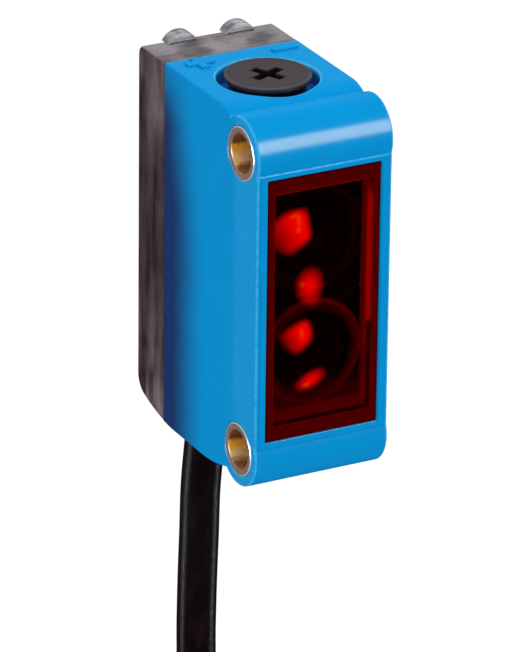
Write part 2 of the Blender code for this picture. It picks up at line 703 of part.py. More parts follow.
def build_light_guides(frame, materials):
    bar_low, bar_high = 26.0 * MM, 27.6 * MM
    bar_front, riser_back = 14.6 * MM, 20.4 * MM
    bend = 0.7 * MM
    overlap = 0.15 * MM
    dome_base = HEIGHT + CLOSE_GAP
    dome_centre_z = HEIGHT + DOME_RISE - DOME_RADIUS
    start = math.degrees(math.asin((dome_base - dome_centre_z) / DOME_RADIUS))
    outline = [(bar_front, bar_low), (riser_back - bend, bar_low), (riser_back, bar_low + bend),
               (riser_back, dome_base + overlap), (GUIDE_FRONT_Y, dome_base + overlap),
               (GUIDE_FRONT_Y, bar_high), (bar_front, bar_high)]
    for name, x in (("left_light_guide", -GUIDE_X), ("right_light_guide", GUIDE_X)):
        guide = slab_x(name, outline, (x - GUIDE_HALF_WIDTH, x + GUIDE_HALF_WIDTH), frame,
                       materials["light_guide"])
        dome = arc((x, dome_centre_z), DOME_RADIUS, start, 180.0 - start, 14)
        join(guide, slab_y(name + "_dome", dome, (GUIDE_FRONT_Y - CLOSE_GAP / 2, DOME_BACK_Y), frame))


# ---------------------------------------------------------------- adjuster

def build_potentiometer_body(frame, materials):
    body = box("potentiometer_body", (-2.5 * MM, 7.4 * MM, 26.0 * MM), (2.5 * MM, 12.5 * MM, 28.3 * MM),
               frame, materials["white_plastic"])
    well = [(0.0, 27.3 * MM), (1.8 * MM, 27.3 * MM), (1.8 * MM, 30.0 * MM), (0.0, 30.0 * MM)]
    cut(body, turned("cut_rotor_well", well, Matrix.Translation((0, ADJUSTER_Y, 0)), frame))


def build_adjuster(axis, materials):
    """Everything that turns: drawn about the adjuster's own axis, heights from the sensor's top."""
    level = -HEIGHT
    still = Matrix.Translation((0, 0, level))
    edge = KNOB_EDGE
    neck, groove, pin = 2.05 * MM, 1.45 * MM, 0.8 * MM
    head_low, neck_low, pin_low = 30.25 * MM, 28.65 * MM, 27.8 * MM
    groove_low, groove_high = 29.05 * MM, 29.8 * MM
    knob_profile = [(0.0, pin_low), (pin, pin_low), (pin, neck_low), (neck, neck_low),
                    (neck, groove_low), (groove, groove_low), (groove, groove_high), (neck, groove_high),
                    (neck, head_low), (KNOB_RADIUS - edge / 2, head_low), (KNOB_RADIUS, head_low + edge / 2),
                    (KNOB_RADIUS, KNOB_TOP - edge), (KNOB_RADIUS - 0.3 * edge, KNOB_TOP - 0.3 * edge),
                    (KNOB_RADIUS - edge, KNOB_TOP), (0.0, KNOB_TOP)]
    knob = turned("adjuster_knob", knob_profile, still, axis, materials["knob_plastic"], segments=48)
    half, arm = CROSS_SPAN / 2, CROSS_ARM / 2
    corners = [(half, arm), (arm, arm), (arm, half), (-arm, half), (-arm, arm), (-half, arm),
               (-half, -arm), (-arm, -arm), (-arm, -half), (arm, -half), (arm, -arm), (half, -arm)]
    turn = Matrix.Rotation(CROSS_ANGLE, 4, 'Z')
    rings = []
    for z in (KNOB_TOP - CROSS_DEPTH, KNOB_TOP + CROSS_DEPTH):
        rings.append([turn @ Vector((x, y, z + level)) for x, y in corners])
    cut(knob, add_mesh("cut_cross", loft(rings), axis))

    rotor_profile = [(0.0, 27.4 * MM), (1.7 * MM, 27.4 * MM), (1.7 * MM, 28.5 * MM), (0.85 * MM, 28.5 * MM),
                     (0.85 * MM, 27.7 * MM), (0.0, 27.7 * MM)]
    turned("potentiometer_rotor", rotor_profile, still, axis, materials["black_plastic"])
    ring_radius, cord_radius = 1.82 * MM, 0.3 * MM
    ring_profile = arc((ring_radius, (groove_low + groove_high) / 2), cord_radius, 0.0, 330.0, 11)
    turned("knob_seal_ring", ring_profile, still, axis, materials["rubber"], closed_ring=True)


# ---------------------------------------------------------------- cable

CONDUCTORS = ("brown", "white", "blue", "black")


def build_cable_entry(frame, materials):
    """The moulded gland, the jacket's end and the crimp inside, and four wires to the board."""
    placement = placed(GLAND_AT, gland_axis())
    radius = CABLE_DIAMETER / 2
    tip = radius + 0.15 * MM
    gland = [(0.0, -GLAND_INSIDE), (GLAND_RADIUS, -GLAND_INSIDE), (GLAND_RADIUS, 0.3 * MM),
             (tip, GLAND_OUTSIDE - CLOSE_GAP), (0.0, GLAND_OUTSIDE - CLOSE_GAP)]
    turned("cable_gland", gland, placement, frame, materials["rubber"])
    jacket_low, jacket_high = -GLAND_INSIDE - FIT_GAP, -4.7 * MM
    jacket = [(0.0, jacket_high), (radius, jacket_high), (radius, jacket_low), (0.0, jacket_low)]
    turned("cable_jacket_end", jacket, placement, frame, materials["cable_jacket"], segments=20)
    crimp_low, crimp_high = -2.8 * MM, -4.2 * MM
    crimp_in, crimp_out = radius + CLOSE_GAP, radius + 0.35 * MM
    crimp = [(crimp_in, crimp_high), (crimp_out, crimp_high), (crimp_out, crimp_low), (crimp_in, crimp_low)]
    turned("cable_crimp", crimp, placement, frame, materials["tinned_steel"], closed_ring=True)

    jacket_end = GLAND_AT + gland_axis() * (jacket_high - FIT_GAP)
    solder_y = BOARD_Y[1] + FIT_GAP
    for index, colour in enumerate(CONDUCTORS):
        across = index - (len(CONDUCTORS) - 1) / 2
        start = jacket_end + Vector((across * 0.95 * MM, 0.0, 0.0))
        knots = [start, start + Vector((across * 0.3, -0.1, 1.2)) * MM,
                 Vector((across * 2.0 * MM, 14.9 * MM, 7.4 * MM)),
                 Vector((across * 2.0 * MM, solder_y, 7.8 * MM))]
        tube_curve("inner_wire_" + colour, smooth_path(knots, 4), 0.4 * MM, frame,
                   materials["wire_" + colour], resolution=1)


def build_cable(frame, materials):
    """The free cable: its hanging lead, its tied coil, and the stripped ends of the conductors."""
    radius = CABLE_DIAMETER / 2
    end_gap = 0.5 * MM
    path = cord_path()
    outer = COIL_MEAN_RADIUS + (COIL_LAYERS - 1) / 2 * CABLE_DIAMETER + radius
    inner = COIL_MEAN_RADIUS - (COIL_LAYERS - 1) / 2 * CABLE_DIAMETER - radius
    half_width = COIL_COLUMNS / 2 * CABLE_DIAMETER
    clear_of_coil = outer + radius + end_gap

    def from_axis(point):
        return math.hypot(point.y - COIL_CENTRE.y, point.z - COIL_CENTRE.z)

    reach = next(index for index, point in enumerate(path) if from_axis(point) < clear_of_coil)
    lead = path[:reach]
    lead_end = lead[-1] + (lead[-2] - lead[-1]).normalized() * end_gap
    lead_start = lead[0] + gland_axis() * FIT_GAP
    lead = [lead_start] + lead[1:-1] + [lead_end]
    tube_curve("cable", resample(lead, 0.9 * CABLE_DIAMETER), radius, frame, materials["cable_jacket"])

    ring = [(inner, -half_width), (outer, -half_width), (outer, half_width), (inner, half_width)]
    coil = turned("cable_coil", ring, placed(COIL_CENTRE, Vector((1, 0, 0))), frame,
                  materials["cable_jacket"], segments=56, closed_ring=True)
    merge = [point for point in path[reach - 1:reach + 40] if from_axis(point) > outer - 0.4 * radius]
    tail = [point for point in path[-14:] if point.z < COIL_CENTRE.z + radius]
    join(coil, tube_mesh("coil_lead_in", resample(merge, 0.9 * CABLE_DIAMETER), radius, frame),
         tube_mesh("coil_tail", resample(tail, CABLE_DIAMETER), radius, frame))

    build_coil_tie(frame, materials, inner, outer, half_width)
    build_free_conductors(frame, materials, path)


def build_coil_tie(frame, materials, inner, outer, half_width):
    """A flat strap round the bundle, where the lead and the tail are both in it."""
    slack, thickness, strap_width = 0.15 * MM, 0.8 * MM, 3.0 * MM
    turn = Matrix.Translation(COIL_CENTRE) @ Matrix.Rotation(-TIE_ANGLE, 4, 'X')
    hole_low = (-half_width - slack, -strap_width, inner - slack)
    hole_high = (half_width + slack, strap_width, outer + slack)
    body_low = (hole_low[0] - thickness, -strap_width / 2, hole_low[2] - thickness)
    body_high = (hole_high[0] + thickness, strap_width / 2, hole_high[2] + thickness)
    tie = box("coil_tie", body_low, body_high, frame, materials["black_plastic"])
    hole = box("cut_tie_hole", hole_low, hole_high, frame)
    for piece in (tie, hole):
        piece.matrix_local = turn
    cut(tie, hole)


def build_free_conductors(frame, materials, path):
    """Four conductors from the stripped end of the jacket."""
    end = path[-1]
    ahead = (path[-1] - path[-3]).normalized()
    start = end + ahead * FIT_GAP
    spread = ((-0.75, -0.75), (0.75, -0.75), (0.75, 0.75), (-0.75, 0.75))
    length = 15.0 * MM
    for colour, (x, y) in zip(CONDUCTORS, spread):
        aside = Vector((x, y, 0.0)) * MM
        knots = [start + aside, start + aside * 1.3 + ahead * length * 0.35,
                 start + aside * 2.3 + ahead * length * 0.7, start + aside * 3.0 + ahead * length]
        tube_curve("free_wire_" + colour, smooth_path(knots, 4), CONDUCTOR_RADIUS, frame,
                   materials["wire_" + colour], resolution=1)


def main():
    clear_scene()
    materials = {name: make_material(name, *values) for name, values in MATERIALS.items()}
    frame = add_empty("sensor_frame", FRAME_SHIFT)
    axis = add_empty("adjuster_axis", (0.0, ADJUSTER_Y, HEIGHT), frame)
    housing = build_housing(frame, materials)
    cover = build_rear_cover(frame, materials)
    cut_gland_hole(frame, housing, cover)
    build_inserts(frame, materials)
    build_window(frame, materials)
    build_optics_carrier(frame, materials)
    build_lenses(frame, materials)
    build_electronics(frame, materials)
    build_light_guides(frame, materials)
    build_potentiometer_body(frame, materials)
    build_adjuster(axis, materials)
    build_cable_entry(frame, materials)
    build_cable(frame, materials)


main()
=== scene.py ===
import math

import bmesh
import bpy
from mathutils import Matrix, Vector


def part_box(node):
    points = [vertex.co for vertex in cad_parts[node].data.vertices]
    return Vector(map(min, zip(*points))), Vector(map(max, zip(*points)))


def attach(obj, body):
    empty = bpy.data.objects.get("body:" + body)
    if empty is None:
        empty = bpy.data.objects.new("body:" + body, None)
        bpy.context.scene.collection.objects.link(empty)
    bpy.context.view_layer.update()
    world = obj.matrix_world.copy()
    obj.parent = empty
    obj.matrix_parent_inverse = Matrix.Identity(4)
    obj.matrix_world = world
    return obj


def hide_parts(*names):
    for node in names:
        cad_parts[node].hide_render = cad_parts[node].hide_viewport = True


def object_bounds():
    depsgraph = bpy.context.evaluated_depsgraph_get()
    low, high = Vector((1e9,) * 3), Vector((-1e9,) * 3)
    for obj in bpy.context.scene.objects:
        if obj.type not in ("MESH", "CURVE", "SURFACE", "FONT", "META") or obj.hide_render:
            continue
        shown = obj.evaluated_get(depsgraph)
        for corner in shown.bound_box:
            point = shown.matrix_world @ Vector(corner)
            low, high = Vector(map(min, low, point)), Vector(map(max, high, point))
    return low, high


# The miniature photoelectric sensor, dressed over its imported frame. Shapes are drawn in the part's own
# axes in millimetres: X across with 0 on the mid-plane, Y back from the front of the lobes, Z up from
# the underside. TO_FRAME then puts them into the frame, in metres.

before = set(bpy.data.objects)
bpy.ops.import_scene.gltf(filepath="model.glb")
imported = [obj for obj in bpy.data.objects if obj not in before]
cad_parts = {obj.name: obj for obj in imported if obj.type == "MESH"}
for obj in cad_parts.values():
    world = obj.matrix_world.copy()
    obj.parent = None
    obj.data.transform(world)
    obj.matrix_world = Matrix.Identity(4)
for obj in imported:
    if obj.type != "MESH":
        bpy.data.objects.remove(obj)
cad_low, cad_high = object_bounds()

MM = 0.001
QUARTER = math.pi / 2
housing_low, housing_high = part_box("housing")
ORIGIN = Vector(((housing_low.x + housing_high.x) / 2, housing_low.y, housing_low.z))
TO_FRAME = Matrix.Translation(ORIGIN) @ Matrix.Scale(MM, 4)

BODY = "sensor_body"
TURNING = "adjuster"

# Driving dimensions, the same as the frame's, in millimetres
WIDTH = 12.0
DEPTH = 21.0
HEIGHT = 31.5
MID_HEIGHT = HEIGHT / 2
INSERT_SPACING = 25.4
LOBE_RADIUS = 3.05
INSERT_Y = LOBE_RADIUS
INSERT_HEIGHTS = {"lower": MID_HEIGHT - INSERT_SPACING / 2, "upper": MID_HEIGHT + INSERT_SPACING / 2}
FRAME_FACE_Y = 0.16
CREASE_RISE = math.sqrt(LOBE_RADIUS ** 2 - (INSERT_Y - FRAME_FACE_Y) ** 2)
EDGE_ROUNDING = 0.2
SEAM_Y = 16.2
SEAM_GAP = 0.05
SEAM_CHAMFER = 0.07
COVER_WIDTH = 11.9
WALL = 1.0
BELLY_RADIUS = 15.0
BELLY_Y = 9.5
ROOF_BEND_RADIUS = 3.6
ROOF_BEND_Y = 6.8
HEEL_START_Y = 14.0
HEEL_RADIUS = 16.7
HEEL_CORNER = 1.8
CROWN_CORNER = 0.8
INSERT_RADIUS = 2.2
INSERT_BORE = 1.25
INSERT_MOUTH = 1.72
WINDOW_HALF = Vector((5.035, 11.2))
WINDOW_GAP = 0.05
WINDOW_BACK_Y = 1.2
WINDOW_FRONT_Y = 0.2
LENS_PITCH = 9.8
LENS_HEIGHTS = {"emitter": MID_HEIGHT - LENS_PITCH / 2, "receiver": MID_HEIGHT + LENS_PITCH / 2}
ADJUSTER_Y = 9.97
POCKET_RADIUS = 4.13
POCKET_FLOOR = 29.95
KNOB_RADIUS = 3.5
KNOB_TOP = 31.8
KNOB_FLANGE = 31.36
KNOB_UNDERCUT = 0.4
CROSS_ANGLE = math.radians(23.0)
MARKS_Y = 14.75
GUIDE_X = 2.6
GUIDE_HALF_WIDTH = 0.95
GUIDE_FRONT_Y = 19.65
DOME_BACK_Y = 20.9
DOME_RADIUS = 1.5
DOME_RISE = 0.82
CABLE_DIAMETER = 3.4
GLAND_AT = Vector((-0.85, 18.0, 0.4))
GLAND_REAR_TILT = math.radians(7.0)
GLAND_SIDE_TILT = math.radians(1.5)
GLAND_AXIS = Vector((-math.tan(GLAND_SIDE_TILT), math.tan(GLAND_REAR_TILT), -1.0)).normalized()
GLAND_RADIUS = 2.2
GLAND_INSIDE = 2.4
GLAND_OUTSIDE = 2.0
CONDUCTORS = {"brown": (0.16, 0.055, 0.02), "white": (0.8, 0.8, 0.78), "blue": (0.02, 0.1, 0.45),
              "black": (0.018, 0.018, 0.018)}
CONDUCTOR_LENGTH = 15.0
COIL_LAYERS = 4
COIL_COLUMNS = 4
COIL_MEAN_RADIUS = 20.4
COIL_CENTRE = Vector((-4.6, 19.5, -58.9))
COIL_JOIN_ANGLE = math.radians(21.7)
TAIL_LENGTH = 20.0
TIE_ANGLE = math.radians(62.0)


def put(name, data, location=None, rotation=None):
    """A new object in the scene, turned by a quaternion if it is given a place."""
    made = bpy.data.objects.new(name, data)
    if location is not None:
        made.location = location
        made.rotation_mode = 'QUATERNION'
        made.rotation_quaternion = rotation
    bpy.context.scene.collection.objects.link(made)
    return made


# ---- camera

CAMERA_TARGET = Vector((-0.137, 10.0, 9.947))
CAMERA_AZIMUTH = math.radians(-27.948)
CAMERA_ELEVATION = math.radians(23.543)
CAMERA_ROLL = math.radians(0.7)
CAMERA_DISTANCE = 475.45
CAMERA_LENS = 325.44
CAMERA_SENSOR = 36.0
CAMERA_CLIP = (0.01, 20.0)


def toward(azimuth, elevation):
    """The unit vector from the sensor to a place seen at that azimuth and elevation."""
    return Vector((math.sin(azimuth) * math.cos(elevation),
                   -math.cos(azimuth) * math.cos(elevation), math.sin(elevation)))


def make_camera():
    """A long lens at the height and side that the sensor is seen from, with a trace of roll."""
    back = toward(CAMERA_AZIMUTH, CAMERA_ELEVATION)
    right = Vector((math.cos(CAMERA_AZIMUTH), math.sin(CAMERA_AZIMUTH), 0.0))
    level = Matrix((right, back.cross(right), back)).transposed()
    data = bpy.data.cameras.new("camera")
    data.sensor_width = CAMERA_SENSOR
    data.lens = CAMERA_LENS
    data.clip_start, data.clip_end = CAMERA_CLIP
    location = TO_FRAME @ (CAMERA_TARGET + back * CAMERA_DISTANCE)
    rotation = (level @ Matrix.Rotation(CAMERA_ROLL, 3, 'Z')).to_quaternion()
    bpy.context.scene.camera = put("camera", data, location, rotation)


# ---- materials

def feed(socket, value):
    """Link a value to a socket, or set the socket to a number, a colour or a vector, if there is one."""
    if isinstance(value, Value):
        value.tree.links.new(value.socket, socket)
    elif value is not None:
        socket.default_value = (*value, 1.0) if isinstance(value, tuple) else value


def grown(tree, kind, inputs, output=0, **settings):
    """One output of a new node, after its settings are made and its inputs fed."""
    node = tree.nodes.new('ShaderNode' + kind)
    for name, setting in settings.items():
        setattr(node, name, setting)
    for name, value in inputs.items():
        feed(node.inputs[name], value)
    return Value(tree, node.outputs[output])


class Value:
    """A number, colour or vector in a node tree, with which sums can be written."""

    def __init__(self, tree, socket):
        self.tree = tree
        self.socket = socket

    def maths(self, operation, other=None, clamp=False):
        """This value and another in a Math node."""
        return grown(self.tree, 'Math', {0: self, 1: other}, operation=operation, use_clamp=clamp)

    def __add__(self, other):
        return self.maths('ADD', other)

    def __sub__(self, other):
        return self.maths('SUBTRACT', other)

    def __mul__(self, other):
        return self.maths('MULTIPLY', other)

    def __abs__(self):
        return self.maths('ABSOLUTE')

    __radd__ = __add__
    __rmul__ = __mul__

    def ramp(self, low, high, out_low=0.0, out_high=1.0):
        """A smooth step from one number to another as the value goes from low to high."""
        inputs = {'Value': self, 'From Min': low, 'From Max': high, 'To Min': out_low, 'To Max': out_high}
        return grown(self.tree, 'MapRange', inputs, interpolation_type='SMOOTHSTEP')

    def near(self, target, half_width):
        """1 where the value is at the target, falling to 0 at that distance from it."""
        return abs(self - target).ramp(half_width, half_width * 0.3)

    def mix(self, first, second):
        """The first colour where the value is 0, the second where it is 1."""
        return grown(self.tree, 'Mix', {0: self, 6: first, 7: second}, 2, data_type='RGBA')

    def axes(self):
        """A vector's X, Y and Z."""
        outputs = grown(self.tree, 'SeparateXYZ', {0: self}).socket.node.outputs
        return [Value(self.tree, output) for output in outputs]


def largest(first, *others):
    """The largest of some values."""
    for other in others:
        first = first.maths('MAXIMUM', other)
    return first


def distance(first, second):
    """The length of a vector from its two components."""
    return (first * first + second * second).maths('SQRT')


FINISHES = {}


class Finish:
    """A new material, kept under its name, with the surface point's place in working millimetres."""

    def __init__(self, name, colour, **sockets):
        material = FINISHES[name] = bpy.data.materials.new(name)
        material.use_nodes = True
        self.tree = material.node_tree
        self.set(Base_Color=colour, **sockets)
        in_metres = grown(self.tree, 'TexCoord', {}, 'Object')
        moved = grown(self.tree, 'VectorMath', {0: in_metres, 1: ORIGIN}, operation='SUBTRACT')
        self.place = grown(self.tree, 'VectorMath', {0: moved, 'Scale': 1 / MM}, operation='SCALE')
        self.axes = self.place.axes()

    def set(self, **sockets):
        """Set or link sockets of the shader, their names written with underscores."""
        for name, value in sockets.items():
            feed(self.tree.nodes["Principled BSDF"].inputs[name.replace("_", " ")], value)

    def painted_glow(self, red, green=None):
        """Paint light onto the surface as glow, though it is no lamp."""
        self.set(Emission_Color=grown(self.tree, 'CombineColor', {0: red, 1: green}))

    def speckle(self, scale, detail=3.0, stretch=(1.0, 1.0, 1.0)):
        """Noise whose grain is 1/scale millimetres."""
        mapped = grown(self.tree, 'Mapping', {'Vector': self.place, 'Scale': Vector(stretch)})
        return grown(self.tree, 'TexNoise', {'Vector': mapped, 'Scale': scale, 'Detail': detail}, 'Fac')

    def gloss(self, pattern, smoothest, roughest):
        """Let a pattern vary the roughness."""
        self.set(Roughness=pattern.ramp(0.3, 0.7, smoothest, roughest))

    def bump(self, height, strength, depth):
        """Let a pattern raise the surface, by up to that depth in millimetres."""
        inputs = {'Strength': strength, 'Distance': depth * MM, 'Height': height}
        self.set(Normal=grown(self.tree, 'Bump', inputs))

    def grain(self, scale, smoothest, roughest, strength, depth):
        """A fine grain in the gloss and the surface."""
        fine = self.speckle(scale)
        self.gloss(fine, smoothest, roughest)
        self.bump(fine, strength, depth)


def moulded(name, colour, roughness, grain=9.0, depth=0.004, **sockets):
    """A moulded or painted surface: slight mottling, uneven gloss and a fine grain."""
    uneven, shade = 0.06, 0.12
    made = Finish(name, colour, **sockets)
    darker = tuple(channel * (1 - shade) for channel in colour)
    lighter = tuple(channel * (1 + shade) for channel in colour)
    made.set(Base_Color=made.speckle(0.35, 2.0).mix(darker, lighter))
    made.grain(grain, roughness - uneven, roughness + uneven, 0.5, depth)


def painted_edge_highlights(x, y, z):
    """Where highlights are painted along the housing's edges: the creases, lobe ends, pocket rim and seam."""
    roof_crease_y, roof_crease_z = 4.84, 30.92
    front_crease = INSERT_HEIGHTS["upper"] - CREASE_RISE - 0.04
    roof = distance(y - roof_crease_y, z - roof_crease_z).near(0.0, 0.16)
    front = z.near(front_crease, 0.1) * y.ramp(0.5, 0.3)
    lobe_ends = abs(x).near(WIDTH / 2 - 0.1, 0.13) * y.ramp(4.6, 3.4)
    rim = distance(x, y - ADJUSTER_Y).near(POCKET_RADIUS + 0.08, 0.13) * z.ramp(HEIGHT - 0.5, HEIGHT - 0.2)
    seam = y.ramp(SEAM_Y - 0.16, SEAM_Y - 0.08) * z.ramp(HEIGHT - 0.3, HEIGHT)
    return largest(lobe_ends * 0.6, roof * 0.8, front, rim, seam * 0.8)


def blue_finish():
    """Satin blue, with painted edge highlights, and painted shade towards the seam and in the knob's pocket.
    """
    made = Finish("blue_plastic", (0.0, 0.245, 0.57), IOR=1.45, Specular_IOR_Level=0.04)
    x, y, z = made.axes
    half = WIDTH / 2
    plain = made.speckle(0.3, 2.0).mix((0.0, 0.235, 0.55), (0.0, 0.257, 0.59))
    # Painted shade: the sides darken towards the seam, less so near the roof, along a wavering edge.
    wavering = y + made.speckle(0.25, 1.0) * 0.8 - z.ramp(17.0, 29.0, 0.0, 1.6)
    on_side = abs(x).ramp(half - 0.2, half - 0.02)
    below_roof = (z - y * 0.2).ramp(30.0, 23.0, 0.1, 1.0)
    shadow = wavering.ramp(9.0, 15.4) * on_side * below_roof
    shaded = shadow.mix(plain, (0.010, 0.032, 0.125))
    # Painted shade inside the knob's pocket, below its rim.
    in_pocket = distance(x, y - ADJUSTER_Y).ramp(POCKET_RADIUS + 0.12, POCKET_RADIUS + 0.02)
    well = in_pocket * z.ramp(HEIGHT - 0.2, HEIGHT - 0.6)
    shaded = well.mix(shaded, (0.01, 0.12, 0.47))
    # Painted highlights along the housing's edges, broken up by noise.
    edges = painted_edge_highlights(x, y, z) * made.speckle(2.5).ramp(0.3, 0.6, 0.35, 0.8)
    made.set(Base_Color=edges.mix(shaded, (0.08, 0.48, 0.85)))
    made.grain(11.0, 0.17, 0.26, 0.35, 0.004)


def smoked_finish():
    """Smoked clear plastic over a dark inside: painted streaked light near the walls' ends, painted
    reflection on top.
    """
    made = Finish("smoked_plastic", (0.036, 0.024, 0.028), IOR=1.58)
    z = made.axes[2]
    streaks = made.speckle(0.9, 3.0, (1.0, 1.0, 0.12)).ramp(0.35, 0.72)
    clouds = made.speckle(0.2, 2.0).ramp(0.35, 0.65)
    # Painted light: the walls are lighter, in streaks, towards their top and bottom.
    near_ends = largest(z.ramp(22.5, 28.5, 0.4, 1.15), z.ramp(14.0, 5.0, 0.0, 1.2))
    light = near_ends.maths('MULTIPLY', streaks * 0.6 + clouds * 0.4, clamp=True)
    wall = light.mix((0.022, 0.008, 0.012), (0.19, 0.15, 0.16))
    # Painted reflection of the top light: paler patches over the top face.
    patches = made.speckle(0.32, 3.0) * 0.7 + made.speckle(1.5, 2.0, (0.3, 1.0, 1.0)) * 0.3
    roof = patches.ramp(0.38, 0.62).mix((0.085, 0.068, 0.078), (0.25, 0.228, 0.242))
    made.set(Base_Color=z.ramp(HEIGHT - 0.14, HEIGHT - 0.02).mix(wall, roof))
    made.grain(8.0, 0.26, 0.4, 0.4, 0.005)


def guide_finish():
    """Clear moulded plastic with painted streaked reflections, greyer on the domes' curved backs than their
    flat fronts.
    """
    made = Finish("light_guide", (0.6, 0.6, 0.64), IOR=1.45, Transmission_Weight=0.62)
    # Painted reflections in streaks; the curved backs are given greyer colours than the flat fronts.
    streaks = made.speckle(1.3, 3.0, (1.0, 0.5, 1.6)).ramp(0.35, 0.65)
    back = streaks.mix((0.3, 0.3, 0.32), (0.66, 0.66, 0.69))
    front = streaks.mix((0.62, 0.61, 0.66), (0.8, 0.79, 0.84))
    at_front = made.axes[1].ramp(GUIDE_FRONT_Y + 0.1, GUIDE_FRONT_Y + 0.01)
    made.set(Base_Color=at_front.mix(back, front))
    made.grain(2.0, 0.1, 0.22, 0.4, 0.006)


def brass_finish():
    """Turned brass: gold and brown painted reflection bands in the bore; duller, pinker end faces with a
    painted edge highlight.
    """
    made = Finish("brass", (0.75, 0.45, 0.16))
    x, y, z = made.axes
    from_middle = z - MID_HEIGHT
    height = from_middle - from_middle.maths('SIGN') * (INSERT_SPACING / 2)
    # Painted reflections in the bore: gold over beige, dark brown at the top and the bottom.
    ragged = height + made.speckle(1.8, 3.0, (0.4, 1.0, 1.0)) * 0.7
    bore = ragged.ramp(0.1, -0.4).mix((1.0, 0.5, 0.05), (1.0, 0.7, 0.3))
    bore = ragged.ramp(-0.75, -1.1).mix(bore, (0.26, 0.1, 0.04))
    bore = ragged.ramp(0.34, 0.66).mix(bore, (0.2, 0.08, 0.03))
    face_and_edge_highlight = made.speckle(2.4).mix((0.2, 0.135, 0.105), (0.32, 0.23, 0.18))
    # Painted highlight: a pale line round the end face's outer edge.
    at_edge = distance(height, y - INSERT_Y).ramp(INSERT_RADIUS - 0.12, INSERT_RADIUS - 0.05)
    face_and_edge_highlight = at_edge.mix(face_and_edge_highlight, (0.72, 0.7, 0.7))
    end_face = abs(x).ramp(WIDTH / 2 - 0.12, WIDTH / 2 - 0.05)
    made.set(Base_Color=end_face.mix(bore, face_and_edge_highlight), Metallic=end_face.ramp(0.0, 1.0, 0.3, 0.2))
    marks = made.speckle(4.0, 2.0, (4.0, 0.6, 0.6))
    made.gloss(marks, 0.24, 0.36)
    made.bump(marks, 0.12, 0.004)


def pane_finish():
    """Deep red clear acrylic, hazy round its edge at the weld, with painted light on a band beside the
    receiver.
    """
    made = Finish("red_window", (0.5, 0.0, 0.0), IOR=1.1, Roughness=0.0, Specular_IOR_Level=0.12)
    x, _, z = made.axes
    past_side = abs(x) - (WINDOW_HALF.x - 0.62)
    past_end = abs(z - MID_HEIGHT) - (WINDOW_HALF.y - 1.25)
    # Painted light: a brighter red band beside the receiver.
    beside = x.near(4.08, 0.42) * z.ramp(13.0, 13.9) * z.ramp(26.1, 23.6)
    border = largest(largest(past_side, past_end).ramp(-0.15, 0.1), beside * 0.9)
    border_and_lit_band = beside.mix((0.085, 0.0, 0.0), (0.33, 0.0, 0.0))
    clear = made.speckle(0.5, 2.0).ramp(0.3, 0.7, 1.0, 0.998) * border.ramp(0.0, 1.0, 1.0, 0.3)
    made.set(Base_Color=border.mix((0.34, 0.004, 0.0), border_and_lit_band), Transmission_Weight=clear)


def rim_finish():
    """The pane's red welding rim: painted light glows down its right side beside the receiver, and at its
    foot and face.
    """
    made = Finish("red_rim", (0.3, 0.0, 0.0), Roughness=0.25, Emission_Strength=1.6)
    x, y, z = made.axes
    broad = made.speckle(0.5, 2.0)
    made.set(Base_Color=broad.mix((0.2, 0.0, 0.0), (0.36, 0.004, 0.0)))
    # Painted light as glow down the right side beside the receiver, at the foot and on the face; the rim is
    # no lamp.
    right = z.ramp(12.6, 13.6, 0.2, 0.45) * z.ramp(25.6, 22.0, 0.45, 1.0) * x.ramp(4.3, 4.6, 0.1, 1.0)
    right = right * broad.ramp(0.35, 0.65, 0.7, 1.0) * y.ramp(3.1, 1.7, 0.3, 0.9)
    foot = z.ramp(6.7, 6.35, 0.0, 0.08)
    face = y.ramp(WINDOW_BACK_Y + 0.08, WINDOW_BACK_Y + 0.04, 0.0, 0.1)
    made.painted_glow(largest(right, foot, face) * 0.95)


def oval(x, z, centre, size, turn, inner):
    """A soft oval: 1 inside the inner share of its size, fading to 0 at its edge."""
    across, upward = x - centre[0], z - centre[1]
    cosine, sine = math.cos(math.radians(turn)), math.sin(math.radians(turn))
    along = across * (cosine / size[0]) + upward * (sine / size[0])
    aside = upward * (cosine / size[1]) - across * (sine / size[1])
    return distance(along, aside).ramp(1.0, inner)


def facet(x, z, corners, softness):
    """A soft-edged polygon, its corners anticlockwise as the lens is seen from the front."""
    sides = []
    for index, corner in enumerate(corners):
        edge = (Vector(corners[(index + 1) % len(corners)]) - Vector(corner)).normalized()
        level = corner[1] * edge.x - corner[0] * edge.y
        sides.append((z * edge.x - x * edge.y).ramp(level - softness, level + softness))
    return math.prod(sides)


# Light seen in the lenses. A facet has corners (x, z), and brightens from one x to another; an oval has
# a centre, a size, a turn in degrees, the share of it that is fully bright and its brightness. A core is
# an oval in which the light is so strong that it turns orange.
FACET_SOFTNESS = 0.42
LIT_FACETS = [
    ([(-4.05, 21.9), (-3.9, 20.7), (-2.3, 19.75), (-0.6, 21.0), (-0.9, 23.2), (-2.3, 23.2)], (-4.4, -1.1)),
    ([(-2.9, 12.7), (-2.3, 11.5), (-1.6, 11.2), (-0.35, 12.2), (-0.35, 13.4), (-0.6, 13.7), (-1.3, 13.6)],
     (-3.2, -0.9)),
]
LIT_OVALS = [
    ((-0.2, 16.55), (1.45, 2.1), 14.0, 0.0, 0.95),
    ((-0.22, 8.55), (1.62, 1.05), 26.0, 0.0, 0.95),
    ((-3.95, 14.35), (0.5, 0.5), 0.0, 0.1, 0.25),
]
LIT_CORES = [
    ((-1.5, 22.6), (0.3, 0.9), 3.0),
    ((-1.55, 21.75), (0.36, 0.42), 0.0),
    ((-1.9, 22.9), (0.5, 0.24), 32.0),
    ((-1.1, 12.75), (0.3, 0.6), -5.0),
    ((-0.85, 16.75), (0.32, 0.38), 0.0),
    ((-0.6, 8.15), (0.55, 0.32), 20.0),
]


